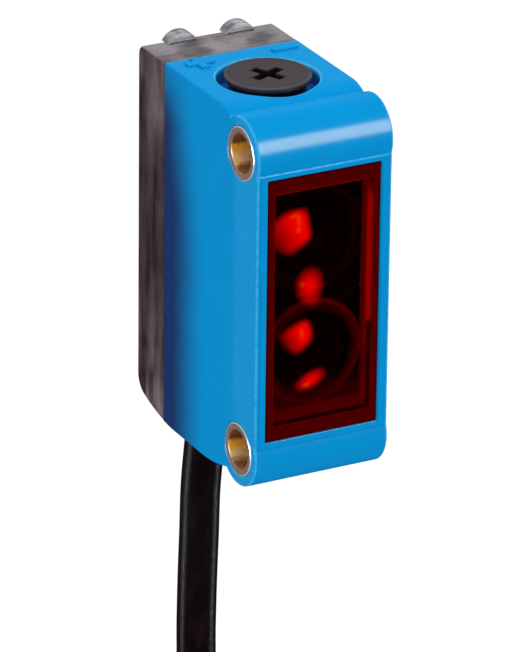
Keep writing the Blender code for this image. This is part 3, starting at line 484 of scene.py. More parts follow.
def lens_finish():
    """A clear lens, dark inside, in which painted reflections of the lights glow as soft red facets and
    ovals.
    """
    made = Finish("clear_lens", (0.02, 0.012, 0.012), Roughness=0.06, IOR=1.49,
                  Specular_IOR_Level=0.12, Emission_Strength=6.2)
    x, _, z = made.axes
    shade = made.speckle(0.45, 3.0).ramp(0.5, 0.75).mix((0.0, 0.0, 0.0), (0.06, 0.0, 0.0))
    # Painted light: lighter red towards the bottom of the lens, and on the raised rings, bright round the
    # emitter and faint round the receiver.
    shade = z.ramp(8.8, 6.6).mix(shade, (0.45, 0.05, 0.05))
    for name, brightness in (("receiver", 0.06), ("emitter", 0.8)):
        radius = distance(x, z - LENS_HEIGHTS[name])
        for inside, outside, share in ((3.3, 3.9, 0.4), (3.95, 4.2, 1.0)):
            ring = radius.ramp(inside, outside) * radius.ramp(4.6, 4.4)
            painted_glow = brightness * share
            shade = ring.mix(shade, (painted_glow, painted_glow * 0.4, painted_glow * 0.4))
    made.set(Base_Color=shade)
    # Painted reflections of the lights, as red glow with orange cores.
    red = []
    for corners, (dim_x, bright_x) in LIT_FACETS:
        rise = (x + (z - corners[0][1]) * 0.5).ramp(dim_x, bright_x, 0.15, 1.0)
        red.append(facet(x, z, corners, FACET_SOFTNESS) * rise)
    for *form, brightness in LIT_OVALS:
        red.append(oval(x, z, *form) * brightness)
    orange = largest(*(oval(x, z, *form, 0.1) for form in LIT_CORES))
    made.painted_glow(sum(red).maths('MULTIPLY', 0.4, clamp=True), orange.maths('MULTIPLY', 0.9, clamp=True))


def knob_finish():
    """Near-black plastic with fine turning marks, in shadow in the cross, on its side and below."""
    made = Finish("knob_plastic", (0.038, 0.028, 0.033), IOR=1.5, Specular_IOR_Level=0.45)
    x, y, z = made.axes
    radius = distance(x, y - ADJUSTER_Y)
    mottled = made.speckle(0.8).mix((0.031, 0.022, 0.027), (0.046, 0.034, 0.04))
    # Painted highlight: a pale ring along the rim's rounded edge.
    face_and_edge_highlight = radius.near(KNOB_RADIUS - 0.08, 0.12).mix(mottled, (0.075, 0.062, 0.068))
    in_cross = z.ramp(KNOB_TOP - 0.04, KNOB_TOP - 0.22) * radius.ramp(2.0, 1.8)
    on_side = z.ramp(KNOB_TOP - 0.1, KNOB_TOP - 0.26, 0.0, 0.7)
    under = z.ramp(KNOB_FLANGE + 0.02, KNOB_FLANGE - 0.06)
    made.set(Base_Color=largest(in_cross, on_side, under).mix(face_and_edge_highlight, (0.003, 0.002, 0.004)))
    turning_marks = (radius * 30.0).maths('SINE')
    fine = made.speckle(7.0)
    made.gloss(fine, 0.34, 0.46)
    made.bump(fine + turning_marks * 0.25, 0.5, 0.006)


def cable_finish():
    """Matt black PVC jacket with faint scuffs along it."""
    made = Finish("cable_jacket", (0.012, 0.008, 0.009), IOR=1.5, Specular_IOR_Level=0.25)
    scuffs = made.speckle(1.2, 4.0, (1.0, 1.0, 0.25)).ramp(0.45, 0.8)
    made.set(Base_Color=scuffs.mix((0.0055, 0.0008, 0.002), (0.013, 0.004, 0.007)))
    made.grain(7.0, 0.38, 0.5, 0.4, 0.008)


def board_finish():
    """Green solder mask with paler tracks under it."""
    made = Finish("circuit_board", (0.01, 0.14, 0.05), IOR=1.5)
    upright = grown(made.tree, 'Mapping', {'Vector': made.place, 'Rotation': Vector((QUARTER, 0.0, 0.0))})
    inputs = {'Vector': upright, 'Scale': 0.55, 'Mortar Size': 0.04, 'Mortar': (0.04, 0.26, 0.1),
              'Color1': (0.01, 0.12, 0.04), 'Color2': (0.012, 0.15, 0.05)}
    tracks = grown(made.tree, 'TexBrick', inputs, 'Color')
    made.set(Base_Color=tracks)
    made.gloss(made.speckle(6.0), 0.25, 0.4)
    made.bump(Value(made.tree, tracks.socket.node.outputs['Fac']), 0.4, 0.03)


def make_finishes():
    """A finish for each of the record's slots, and one for the window's rim."""
    for finish in (blue_finish, smoked_finish, guide_finish, pane_finish, rim_finish, lens_finish,
                   knob_finish, brass_finish, cable_finish, board_finish):
        finish()
    moulded("black_plastic", (0.02, 0.02, 0.021), 0.5)
    moulded("rubber", (0.016, 0.014, 0.015), 0.6, grain=6.0, depth=0.01)
    moulded("tinned_steel", (0.72, 0.72, 0.74), 0.32, grain=5.0, Metallic=1.0)
    moulded("ceramic", (0.42, 0.27, 0.16), 0.5, grain=8.0)
    moulded("white_plastic", (0.74, 0.74, 0.71), 0.4)
    for name, colour in CONDUCTORS.items():
        moulded("wire_" + name, colour, 0.35)


# ---- mesh helpers

def new_object(name, shape):
    """An object from a bmesh, still in working millimetres, with its faces pointing out."""
    bmesh.ops.recalc_face_normals(shape, faces=shape.faces)
    mesh = bpy.data.meshes.new(name)
    shape.to_mesh(mesh)
    shape.free()
    return put(name, mesh)


def combine(target, operation, *others):
    """Boolean the other shapes into the target, keep the result as its mesh and remove them."""
    for other in others:
        modifier = target.modifiers.new(other.name, 'BOOLEAN')
        modifier.operation = operation
        modifier.solver = 'EXACT'
        modifier.object = other
    depsgraph = bpy.context.evaluated_depsgraph_get()
    target.data = bpy.data.meshes.new_from_object(target.evaluated_get(depsgraph), depsgraph=depsgraph)
    target.modifiers.clear()
    for other in others:
        bpy.data.objects.remove(other)


def settle(piece, slot, *stands_for, body=BODY, finish=None, smooth_angle=30.0):
    """Move a finished piece into the frame, shade it, and ride it on its body."""
    if piece.type == 'MESH':
        piece.data.transform(TO_FRAME)
        piece.data.materials.clear()
        piece.data.shade_smooth()
        piece.data.set_sharp_from_angle(angle=math.radians(smooth_angle))
        modifier = piece.modifiers.new("flat_faces_stay_flat", 'WEIGHTED_NORMAL')
        modifier.keep_sharp = True
    piece.data.materials.append(FINISHES[finish or slot])
    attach(piece, body)
    if stands_for:
        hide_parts(*stands_for)
    return piece


def arc(centre, radius, start, end, steps):
    """Points on a circle, from one angle to another in degrees."""
    angles = [math.radians(start + (end - start) * step / steps) for step in range(steps + 1)]
    return [(centre[0] + radius * math.cos(turn), centre[1] + radius * math.sin(turn)) for turn in angles]


def around(segments):
    """The angles of evenly spaced places round a circle."""
    return [2 * math.pi * segment / segments for segment in range(segments)]


def quarter_round(radius, steps):
    """How far in a rounded edge is along each of its two sides, from one side to the other."""
    turns = [QUARTER * step / steps for step in range(steps + 1)]
    return [(radius * (1 - math.sin(turn)), radius * (1 - math.cos(turn))) for turn in turns]


def direction(centre, point):
    """The angle in degrees from a centre to a point."""
    return math.degrees(math.atan2(point[1] - centre[1], point[0] - centre[0]))


def circle_crossing(centre_a, radius_a, centre_b, radius_b, side):
    """Where two circles cross; side picks which of the two points."""
    dy = centre_b[0] - centre_a[0]
    dz = centre_b[1] - centre_a[1]
    apart = math.hypot(dy, dz)
    along = (radius_a ** 2 - radius_b ** 2 + apart ** 2) / (2 * apart)
    across = side * math.sqrt(radius_a ** 2 - along ** 2)
    return (centre_a[0] + (along * dy - across * dz) / apart,
            centre_a[1] + (along * dz + across * dy) / apart)


def side_outline(lobe_steps=44, bend_steps=16, heel_steps=14, corner_steps=10):
    """The sensor seen from +X, anticlockwise from the notch behind the lower lobe."""
    lower_lobe = (INSERT_Y, INSERT_HEIGHTS["lower"])
    upper_lobe = (INSERT_Y, INSERT_HEIGHTS["upper"])
    belly = (BELLY_Y, BELLY_RADIUS)
    roof_bend = (ROOF_BEND_Y, HEIGHT - ROOF_BEND_RADIUS)
    lower_notch = circle_crossing(lower_lobe, LOBE_RADIUS, belly, BELLY_RADIUS, -1)
    upper_notch = circle_crossing(upper_lobe, LOBE_RADIUS, roof_bend, ROOF_BEND_RADIUS, 1)
    upper_crease = (FRAME_FACE_Y, upper_lobe[1] - CREASE_RISE)
    lower_crease = (FRAME_FACE_Y, lower_lobe[1] + CREASE_RISE)
    heel = (HEEL_START_Y, HEEL_RADIUS)
    corner_y = DEPTH - HEEL_CORNER
    reach = HEEL_RADIUS - HEEL_CORNER
    corner = (corner_y, HEEL_RADIUS - math.sqrt(reach ** 2 - (corner_y - HEEL_START_Y) ** 2))
    heel_end = direction(heel, corner)
    crown = (DEPTH - CROWN_CORNER, HEIGHT - CROWN_CORNER)

    points = arc(belly, BELLY_RADIUS, direction(belly, lower_notch), -90.0, bend_steps)
    points += arc(heel, HEEL_RADIUS, -90.0, heel_end, heel_steps)
    points += arc(corner, HEEL_CORNER, heel_end, 0.0, corner_steps)[1:]
    points += arc(crown, CROWN_CORNER, 0.0, 90.0, corner_steps)
    points += arc(roof_bend, ROOF_BEND_RADIUS, 90.0, direction(roof_bend, upper_notch), bend_steps)
    points += arc(upper_lobe, LOBE_RADIUS, direction(upper_lobe, upper_notch),
                  direction(upper_lobe, upper_crease) % 360.0, lobe_steps)[1:]
    points += arc(lower_lobe, LOBE_RADIUS, direction(lower_lobe, lower_crease),
                  direction(lower_lobe, lower_notch) % 360.0, lobe_steps)[:-1]
    return points


def inset_outline(points, inset):
    """Move an anticlockwise outline inwards by the same distance everywhere."""
    moved = []
    for index, point in enumerate(points):
        here = Vector(point)
        edge_in = (here - Vector(points[index - 1])).normalized()
        edge_out = (Vector(points[(index + 1) % len(points)]) - here).normalized()
        normal_in = Vector((-edge_in.y, edge_in.x))
        normal_out = Vector((-edge_out.y, edge_out.x))
        mitre = (normal_in + normal_out).normalized()
        moved.append(here + mitre * (inset / max(mitre.dot(normal_in), 0.5)))
    return [(point.x, point.y) for point in moved]


def loft(rings, closed=False):
    """A solid through rings of equal length, capped at both ends, or closed on itself."""
    shape = bmesh.new()
    loops = [[shape.verts.new(point) for point in ring] for ring in rings]
    count = len(rings[0])
    pairs = list(zip(loops, loops[1:]))
    if closed:
        pairs.append((loops[-1], loops[0]))
    for lower, upper in pairs:
        for index in range(count):
            after = (index + 1) % count
            shape.faces.new((lower[index], lower[after], upper[after], upper[index]))
    if not closed:
        shape.faces.new(loops[0])
        shape.faces.new(loops[-1])
    return shape


def rounded_stations(low, high, rounding, steps):
    """Places along an axis and the inset at each, for a bar whose two end edges are rounded."""
    ends = quarter_round(rounding, steps)
    stations = [(low + back, inset) for back, inset in reversed(ends)]
    return stations + [(high - (place - low), inset) for place, inset in reversed(stations)]


def sections(outline, stations, axis):
    """An outline's ring at each (place, inset) along X, Y or Z."""
    spread = {'X': lambda a, b, t: (t, a, b), 'Y': lambda a, b, t: (a, t, b), 'Z': lambda a, b, t: (a, b, t)}
    return [[spread[axis](a, b, place) for a, b in (inset_outline(outline, inset) if inset else outline)]
            for place, inset in stations]


def slab(name, outline, axis, span, rounding=0.0, steps=4):
    """An outline extruded along X, Y or Z, with the edges at both ends rounded."""
    stations = rounded_stations(*span, rounding, steps) if rounding else [(place, 0.0) for place in span]
    return new_object(name, loft(sections(outline, stations, axis)))


def rectangle(low, high, corner=0.0, steps=4):
    """A rectangle between two corners, anticlockwise, with round corners."""
    if not corner:
        return [(low[0], low[1]), (high[0], low[1]), (high[0], high[1]), (low[0], high[1])]
    left, right = low[0] + corner, high[0] - corner
    bottom, top = low[1] + corner, high[1] - corner
    points = []
    for index, centre in enumerate(((right, bottom), (right, top), (left, top), (left, bottom))):
        points += arc(centre, corner, 90.0 * (index - 1), 90.0 * index, steps)
    return points


def window_rectangle(half_size, corner, steps):
    """A rectangle in the middle of the window, from its half size."""
    centre = Vector((0, MID_HEIGHT))
    return rectangle(centre - half_size, centre + half_size, corner, steps)


def block(name, low, high):
    """A plain block between two corners."""
    return slab(name, rectangle((low[1], low[2]), (high[1], high[2])), 'X', (low[0], high[0]))


def placed(origin, axis):
    """A placement whose local Z runs along the axis from the origin."""
    return Matrix.Translation(origin) @ Vector((0, 0, 1)).rotation_difference(axis).to_matrix().to_4x4()


def rounded_profile(corners, steps):
    """A (radius, height) profile from (radius, height, rounding) corners, each rounded as asked."""
    points = []
    for index, (r, h, rounding) in enumerate(corners):
        here = Vector((r, h))
        if not rounding:
            points.append(here)
            continue
        before = (Vector(corners[index - 1][:2]) - here).normalized()
        after = (Vector(corners[(index + 1) % len(corners)][:2]) - here).normalized()
        half = before.angle(after) / 2
        reach = rounding / math.tan(half)
        centre = here + (before + after).normalized() * (rounding / math.sin(half))
        start = here + before * reach - centre
        end = here + after * reach - centre
        for step in range(steps + 1):
            points.append(centre + start.slerp(end, step / steps) * rounding)
    return [(point.x, point.y) for point in points]


ON_AXIS = 1e-6


def turned(name, profile, placement, segments):
    """Spin (radius, height) points about local Z, then place the solid."""
    shape = bmesh.new()
    rings = []
    for radius, height in profile:
        spots = [(0.0, 0.0, height)]
        if radius > ON_AXIS:
            spots = [(radius * math.cos(turn), radius * math.sin(turn), height) for turn in around(segments)]
        rings.append([shape.verts.new(spot) for spot in spots])
    for lower, upper in zip(rings, rings[1:]):
        for segment in range(segments):
            after = (segment + 1) % segments
            corners = [lower[segment % len(lower)], lower[after % len(lower)],
                       upper[after % len(upper)], upper[segment % len(upper)]]
            shape.faces.new(list(dict.fromkeys(corners)))
    shape.transform(placement)
    return new_object(name, shape)


def rod(name, radius, low, high, placement):
    """A plain round bar, to cut a hole with."""
    return turned(name, [(0.0, low), (radius, low), (radius, high), (0.0, high)], placement, 48)


# ---- cord route

def smooth_path(knots, steps):
    """A smooth curve through the knots (centripetal Catmull-Rom)."""
    knots = [Vector(knot) for knot in knots]
    extended = [2 * knots[0] - knots[1]] + knots + [2 * knots[-1] - knots[-2]]
    path = []
    for index in range(1, len(extended) - 2):
        p0, p1, p2, p3 = extended[index - 1:index + 3]
        t1 = (p1 - p0).length ** 0.5
        t2 = t1 + (p2 - p1).length ** 0.5
        t3 = t2 + (p3 - p2).length ** 0.5
        for step in range(steps):
            t = t1 + (t2 - t1) * step / steps
            a1 = p0.lerp(p1, t / t1)
            a2 = p1.lerp(p2, (t - t1) / (t2 - t1))
            a3 = p2.lerp(p3, (t - t2) / (t3 - t2))
            b1 = a1.lerp(a2, t / t2)
            b2 = a2.lerp(a3, (t - t1) / (t3 - t1))
            path.append(b1.lerp(b2, (t - t1) / (t2 - t1)))
    path.append(knots[-1])
    return path


def coil_seat(turn):
    """The layer and column of a turn: in through the +X column's layers, out through the next."""
    column, layer = divmod(turn, COIL_LAYERS)
    if column % 2 == 0:
        layer = COIL_LAYERS - 1 - layer
    return layer, COIL_COLUMNS - 1 - column


def coil_point(turns):
    """A point on the coil, counted in turns from where the lead joins it."""
    shift_start, bulge = 0.45, 0.25
    turn = int(turns)
    layer, column = coil_seat(turn)
    next_layer, next_column = coil_seat(turn + 1)
    part = max(0.0, (turns - turn - shift_start) / (1 - shift_start))
    blend = part * part * (3 - 2 * part)
    if next_column != column:
        side = -1 if layer == 0 else 1
        layer += side * bulge * math.sin(math.pi * part)
        next_layer = layer
    layer += (next_layer - layer) * blend
    column += (next_column - column) * blend
    radius = COIL_MEAN_RADIUS + (layer - (COIL_LAYERS - 1) / 2) * CABLE_DIAMETER
    across = (column - (COIL_COLUMNS - 1) / 2) * CABLE_DIAMETER
    angle = COIL_JOIN_ANGLE + 2 * math.pi * turns
    return COIL_CENTRE + Vector((across, radius * math.sin(angle), radius * math.cos(angle)))


# Where the lead passes below the gland: it hangs down and then bends into the first turn
LEAD_KNOTS = [(-1.0, 18.6, -4.6), (-1.08, 18.95, -8.0), (-1.14, 19.03, -12.0), (-1.2, 19.18, -16.5),
              (-1.1, 19.52, -21.0), (-0.8, 20.15, -25.6), (-0.4, 22.0, -29.7), (0.05, 25.05, -32.95)]


def cord_path():
    """The cable's centre line: the lead, every turn of the coil, and the tail."""
    steps_per_turn, tail_lean = 24, 1.5
    tail_turn = COIL_LAYERS * COIL_COLUMNS - 1 + (QUARTER - COIL_JOIN_ANGLE) / (2 * math.pi)
    count = round(tail_turn * steps_per_turn)
    knots = [GLAND_AT + GLAND_AXIS * GLAND_OUTSIDE, *LEAD_KNOTS]
    knots += [coil_point(tail_turn * step / count) for step in range(count + 1)]
    tail_top = knots[-1]
    for part in (0.35, 0.7, 1.0):
        knots.append(tail_top + Vector((0.0, tail_lean * part * part, -TAIL_LENGTH * part)))
    return smooth_path(knots, 4)


def cord_curve(name, points, radius, resolution):
    """A cord or wire as a bevelled curve with filled caps, in the frame's metres."""
    curve = bpy.data.curves.new(name, 'CURVE')
    curve.dimensions = '3D'
    curve.bevel_depth = radius * MM
    curve.bevel_resolution = resolution
    curve.use_fill_caps = True
    spline = curve.splines.new('POLY')
    spline.points.add(len(points) - 1)
    for target, point in zip(spline.points, points):
        target.co = (*(TO_FRAME @ point), 1.0)
    spline.use_smooth = True
    return put(name, curve)


# ---- cable

def build_cable():
    """The two metre cable with its coil, strap and stripped ends."""
    start_inside = 1.2
    path = cord_path()
    cable = cord_curve("cable_cord", [path[0] - GLAND_AXIS * start_inside] + path, CABLE_DIAMETER / 2, 5)
    settle(cable, "cable_jacket", "cable", "cable_coil")
    strap = build_strap()
    conductors = build_conductors(path)
    gland = build_gland()
    TO_FRAME @ path[0]


def build_strap():
    """A flat strap round the bundle, with a small lock where its end goes through."""
    slack, thickness, half = 0.15, 0.8, 1.5
    half_height = COIL_LAYERS / 2 * CABLE_DIAMETER + slack
    half_width = COIL_COLUMNS / 2 * CABLE_DIAMETER + slack
    inner, outer = COIL_MEAN_RADIUS - half_height, COIL_MEAN_RADIUS + half_height
    inside = rectangle((-half_width, inner), (half_width, outer), CABLE_DIAMETER / 2, 8)
    outside = [(place, inset - thickness) for place, inset in rounded_stations(-half, half, 0.2, 3)]
    rings = sections(inside, outside + [(half, 0.0), (-half, 0.0)], 'Y')
    strap = new_object("coil_strap", loft(rings, closed=True))
    lock_reach, lock_span, end_span = 1.9, (outer + 0.5, outer + 1.9), (outer + 1.0, outer + 1.55)
    lock_outline = rectangle((-lock_reach, -lock_reach), (lock_reach, lock_reach), 0.4)
    lock = slab("strap_lock", lock_outline, 'Z', lock_span, 0.3)
    end = slab("strap_end", rectangle((-4.6, -1.2), (1.0, 1.2), 0.3), 'Z', end_span, 0.15)
    combine(strap, 'UNION', lock, end)
    strap.data.transform(Matrix.Translation(COIL_CENTRE) @ Matrix.Rotation(-TIE_ANGLE, 4, 'X'))
    return settle(strap, "black_plastic", "coil_tie")


def build_conductors(path):
    """Four insulated conductors from the stripped jacket, each with a tinned tip."""
    stripped, apart, wire_radius, tip_radius = 4.0, 0.75, 0.45, 0.26
    end = path[-1]
    ahead = (path[-1] - path[-3]).normalized()
    pieces = []
    for colour, (x, y) in zip(CONDUCTORS, rectangle((-apart, -apart), (apart, apart))):
        aside = Vector((x, y, 0.0))
        knots = [end - ahead + aside]
        for spread, reach in ((1.3, 0.35), (2.3, 0.7), (3.0, 1.0)):
            knots.append(end + aside * spread + ahead * CONDUCTOR_LENGTH * reach)
        route = smooth_path(knots, 8)
        cut = next(i for i, point in enumerate(route) if (point - route[-1]).length < stripped)
        wire = cord_curve("wire_" + colour, route[:cut + 1], wire_radius, 4)
        pieces.append(settle(wire, "wire_" + colour, "free_wire_" + colour))
        tip = cord_curve("tinned_tip_" + colour, route[cut - 1:], tip_radius, 4)
        pieces.append(settle(tip, "tinned_steel"))
    return pieces


def build_gland():
    """The moulded strain relief, with two grooves and a rounded lip round the cable."""
    tip, end = CABLE_DIAMETER / 2 + 0.15, GLAND_OUTSIDE - 0.05
    grooved = ((0.0, 0.3, 0.1), (0.08, 0.55, 0.0), (0.26, 0.62, 0.05), (0.26, 0.8, 0.05), (0.14, 0.9, 0.05),
               (0.18, 1.15, 0.05), (0.36, 1.22, 0.04), (0.36, 1.4, 0.04), (0.25, 1.48, 0.04))
    corners = [(0.0, -GLAND_INSIDE, 0.0), (GLAND_RADIUS, -GLAND_INSIDE, 0.15)]
    corners += [(GLAND_RADIUS - narrower, height, rounding) for narrower, height, rounding in grooved]
    corners += [(tip, end, 0.08), (0.0, end, 0.0)]
    gland = turned("strain_relief", rounded_profile(corners, 3), placed(GLAND_AT, GLAND_AXIS), 48)
    return settle(gland, "rubber", "cable_gland")


# ---- housing and cover

def roof_height(y):
    """The height of the housing's roof, which bends down in front of the knob."""
    if y >= ROOF_BEND_Y:
        return HEIGHT
    return HEIGHT - ROOF_BEND_RADIUS + math.sqrt(ROOF_BEND_RADIUS ** 2 - (ROOF_BEND_Y - y) ** 2)


def heel_height(y):
    """The height of the underside behind the heel's start."""
    return HEEL_RADIUS - math.sqrt(HEEL_RADIUS ** 2 - (y - HEEL_START_Y) ** 2)


def seam_trimmer(name, face_y, sign):
    """What stays on the seam's back (+1) or front (-1) side, with its outer edge slightly broken."""
    far, outside = 40.0, 3.0
    stations = [(face_y, SEAM_CHAMFER), (face_y + sign * SEAM_CHAMFER, 0.0),
                (face_y + sign * (SEAM_CHAMFER + 0.01), -outside), (face_y + sign * far, -outside)]
    half = (COVER_WIDTH if sign > 0 else WIDTH) / 2
    outline = rectangle((-half, heel_height(face_y)), (half, HEIGHT), EDGE_ROUNDING, 5)
    return new_object(name, loft(sections(outline, stations, 'Y')))


def pocket_cutter():
    """The knob's pocket: a round well whose rim is rounded and follows the sloping roof."""
    rim, foot, steps, segments, past_roof = 0.22, 0.15, 6, 96, 3.0
    columns = []
    for angle in around(segments):
        aim = Vector((math.cos(angle), math.sin(angle)))
        levels = [(POCKET_RADIUS - foot, POCKET_FLOOR), (POCKET_RADIUS, POCKET_FLOOR + foot)]
        for down, out in quarter_round(rim, steps):
            radius = POCKET_RADIUS + out
            levels.append((radius, roof_height(ADJUSTER_Y + aim.y * radius) - down))
        levels.append((POCKET_RADIUS + rim, HEIGHT + past_roof))
        columns.append([(aim.x * radius, ADJUSTER_Y + aim.y * radius, height) for radius, height in levels])
    return new_object("pocket", loft(list(zip(*columns))))


def window_cutter():
    """The window's opening, with a finely rounded edge on the frame's face."""
    mouth, steps, into_wall, past_face = 0.09, 4, 0.25, 4.0
    stations = [(WINDOW_BACK_Y + into_wall, 0.0)]
    stations += [(FRAME_FACE_Y + back, -wider) for back, wider in quarter_round(mouth, steps)]
    stations.append((FRAME_FACE_Y - past_face, -mouth))
    return new_object("window_opening", loft(sections(window_rectangle(WINDOW_HALF, 0.12, 3), stations, 'Y')))


def bore_cutter(z):
    """The hole for an insert, right through the lobe, with its two mouths broken."""
    radius, broken, half, past = INSERT_RADIUS + 0.04, 0.1, WIDTH / 2, 1
    right_half = [(radius, half - broken), (radius + broken, half), (radius + broken, half + past),
                  (0.0, half + past)]
    left_half = [(spot, -height) for spot, height in reversed(right_half)]
    return turned("bore", left_half + right_half, placed(Vector((0, INSERT_Y, z)), Vector((1, 0, 0))), 80)


def gland_cutter():
    """The hole that the strain relief sits in, across the seam."""
    return rod("gland_hole", GLAND_RADIUS + 0.05, -6.0, 4.0, placed(GLAND_AT, GLAND_AXIS))


def raised_mark(name, outline):
    """A raised mark on the roof with softened top edges, sunk into the wall below."""
    proud, sunk, edge, steps = 0.2, 0.3, 0.08, 3
    stations = [(HEIGHT - sunk, 0.0)]
    stations += [(HEIGHT + proud - down, inset) for down, inset in quarter_round(edge, steps)]
    return new_object(name, loft(sections(outline, stations, 'Z')))


def plus_outline(centre, length, width):
    """A plus sign, anticlockwise."""
    half, thin = length / 2, width / 2
    corners = [(half, -thin), (half, thin), (thin, thin), (thin, half), (-thin, half), (-thin, thin),
               (-half, thin), (-half, -thin), (-thin, -thin), (-thin, -half), (thin, -half), (thin, -thin)]
    return [(centre[0] + x, centre[1] + y) for x, y in corners]


def build_housing():
    """The blue housing: shell, window frame, knob pocket, bores and marks."""
    half = WIDTH / 2
    housing = slab("blue_housing", side_outline(), 'X', (-half, half), EDGE_ROUNDING, 7)
    combine(housing, 'INTERSECT', seam_trimmer("front_part", SEAM_Y, -1))
    plate_half = Vector((5.6, INSERT_SPACING / 2 - CREASE_RISE - 0.03))
    plate_span = (FRAME_FACE_Y - 0.06, FRAME_FACE_Y + 0.3)
    plate = slab("frame_plate", window_rectangle(plate_half, 0.1, 3), 'Y', plate_span, 0.05, 3)
    combine(housing, 'UNION', plate)
    front, back, step_y, floor, roof, roof_front = 6.2, SEAM_Y + 5, 15.0, 1.2, HEIGHT - WALL, 28.9
    rear_space = [(front, floor), (back, floor), (back, roof), (step_y, roof), (step_y, roof_front),
                  (front, roof_front)]
    knob_bore_radius, past_floor = 2.2, 5.0
    carrier_half, carrier_half_height, carrier_front, carrier_back = 5.0, 9.8, WINDOW_BACK_Y + 0.2, 6.4
    carrier_space = block("front_space", (-carrier_half, carrier_front, MID_HEIGHT - carrier_half_height),
                          (carrier_half, carrier_back, MID_HEIGHT + carrier_half_height))
    knob_bore = rod("knob_bore", knob_bore_radius, -past_floor, past_floor,
                    Matrix.Translation((0, ADJUSTER_Y, POCKET_FLOOR)))
    cutters = [slab("rear_space", rear_space, 'X', (WALL - half, half - WALL)), carrier_space,
               window_cutter(), pocket_cutter(), knob_bore,
               bore_cutter(INSERT_HEIGHTS["lower"]), bore_cutter(INSERT_HEIGHTS["upper"]), gland_cutter()]
    combine(housing, 'DIFFERENCE', *cutters)
    plus = raised_mark("plus", plus_outline((-3.6, MARKS_Y), 2.35, 0.72))
    minus_at, minus_half = Vector((4.05, MARKS_Y)), Vector((1.15, 0.275))
    minus = raised_mark("minus", rectangle(minus_at - minus_half, minus_at + minus_half, 0.08, 2))
    combine(housing, 'UNION', plus, minus)
    settle(housing, "blue_plastic", "housing")


def build_cover():
    """The smoked rear cover with its lip and the slots for the light guides."""
    half, face, inner = COVER_WIDTH / 2, SEAM_Y + SEAM_GAP, 4.35
    slot_gap, slot_back, slot_low = 0.06, 20.46, 25.8
    lip_half, lip_front, lip_low, lip_high = WIDTH / 2 - WALL - 0.1, 15.2, 1.3, HEIGHT - WALL - 0.1
    space_front, space_low, space_high = lip_front - 5, 1.85, 29.85
    cover = slab("smoked_cover", side_outline(), 'X', (-half, half), EDGE_ROUNDING, 7)
    combine(cover, 'INTERSECT', seam_trimmer("back_part", face, 1))
    combine(cover, 'UNION', block("lip", (-lip_half, lip_front, lip_low), (lip_half, face + WALL, lip_high)))
    space = [(space_front, space_low), (17.5, space_low), (19.2, 2.7), (20.0, 3.7), (20.0, 29.2),
             (19.4, space_high), (space_front, space_high)]
    cutters = [slab("space", space, 'X', (-inner, inner)), gland_cutter()]
    reach = GUIDE_HALF_WIDTH + slot_gap
    for x in (-GUIDE_X, GUIDE_X):
        outline = rectangle((x - reach, GUIDE_FRONT_Y - 0.05), (x + reach, slot_back), 0.1, 3)
        cutters.append(slab("guide_slot", outline, 'Z', (slot_low, HEIGHT + 5)))
    combine(cover, 'DIFFERENCE', *cutters)
    settle(cover, "smoked_plastic", "rear_cover")


def build_light_guides():
    """Two bent light guides, each ending in a half-round dome with a flat front."""
    bar_low, bar_high, bar_front, riser_back, bend, half = 26.0, 27.6, 14.6, 20.4, 0.9, GUIDE_HALF_WIDTH
    dome_foot, overlap = HEIGHT + 0.02, 0.2
    centre_z = HEIGHT + DOME_RISE - DOME_RADIUS
    start = math.degrees(math.asin((dome_foot - centre_z) / DOME_RADIUS))
    outline = [(bar_front, bar_low), *arc((riser_back - bend, bar_low + bend), bend, -90.0, 0.0, 6),
               (riser_back, dome_foot + overlap), (GUIDE_FRONT_Y, dome_foot + overlap),
               (GUIDE_FRONT_Y, bar_high), (bar_front, bar_high)]
    for side, x in (("left", -GUIDE_X), ("right", GUIDE_X)):
        guide = slab(side + "_light_pipe", outline, 'X', (x - half, x + half), 0.08, 2)
        dome_outline = arc((x, centre_z), DOME_RADIUS, start, 180.0 - start, 28)
        combine(guide, 'UNION', slab("dome", dome_outline, 'Y', (GUIDE_FRONT_Y - 0.02, DOME_BACK_Y), 0.1, 4))
        settle(guide, "light_guide", side + "_light_guide", smooth_angle=40.0)


# ---- inserts

def build_inserts():
    """Brass inserts: a smooth mouth at each end, and a real M3 thread between."""
    half = WIDTH / 2 - 0.02
    mouth_radius, mouth_depth, edge = 1.6, 3.3, 0.06
    pitch, depth, steepness, clearance = 0.5, 0.24, 1.25, 0.02
    segments, per_pitch = 48, 8
    thread_half = half - mouth_depth - (mouth_radius - INSERT_BORE)
    count = round(2 * thread_half / pitch * per_pitch)
    outside = [(INSERT_RADIUS - edge, -half), (INSERT_RADIUS, edge - half), (INSERT_RADIUS, half - edge),
               (INSERT_RADIUS - edge, half)]
    mouth = [(INSERT_MOUTH, half), (INSERT_MOUTH - edge, half - edge / 2), (mouth_radius, half - 2 * edge),
             (mouth_radius, half - mouth_depth)]
    rings = [[pair] * segments for pair in outside + mouth]
    for step in range(count, -1, -1):
        place = -thread_half + 2 * thread_half * step / count
        fade = min(1.0, (thread_half - abs(place)) / pitch)
        ring = []
        for segment in range(segments):
            phase = (place / pitch - segment / segments) % 1.0
            ridge = min(1.0, steepness * abs(2 * phase - 1))
            ring.append((INSERT_BORE + clearance + depth * ridge * fade, place))
        rings.append(ring)
    rings += [[(radius, -place)] * segments for radius, place in reversed(mouth)]
    for name, z in INSERT_HEIGHTS.items():
        loops = [[(place, INSERT_Y + radius * math.cos(angle), z + radius * math.sin(angle))
                  for angle, (radius, place) in zip(around(segments), ring)] for ring in rings]
        insert = new_object(name + "_brass_insert", loft(loops, closed=True))
        settle(insert, "brass", name + "_threaded_insert", smooth_angle=40.0)


# ---- window and lenses

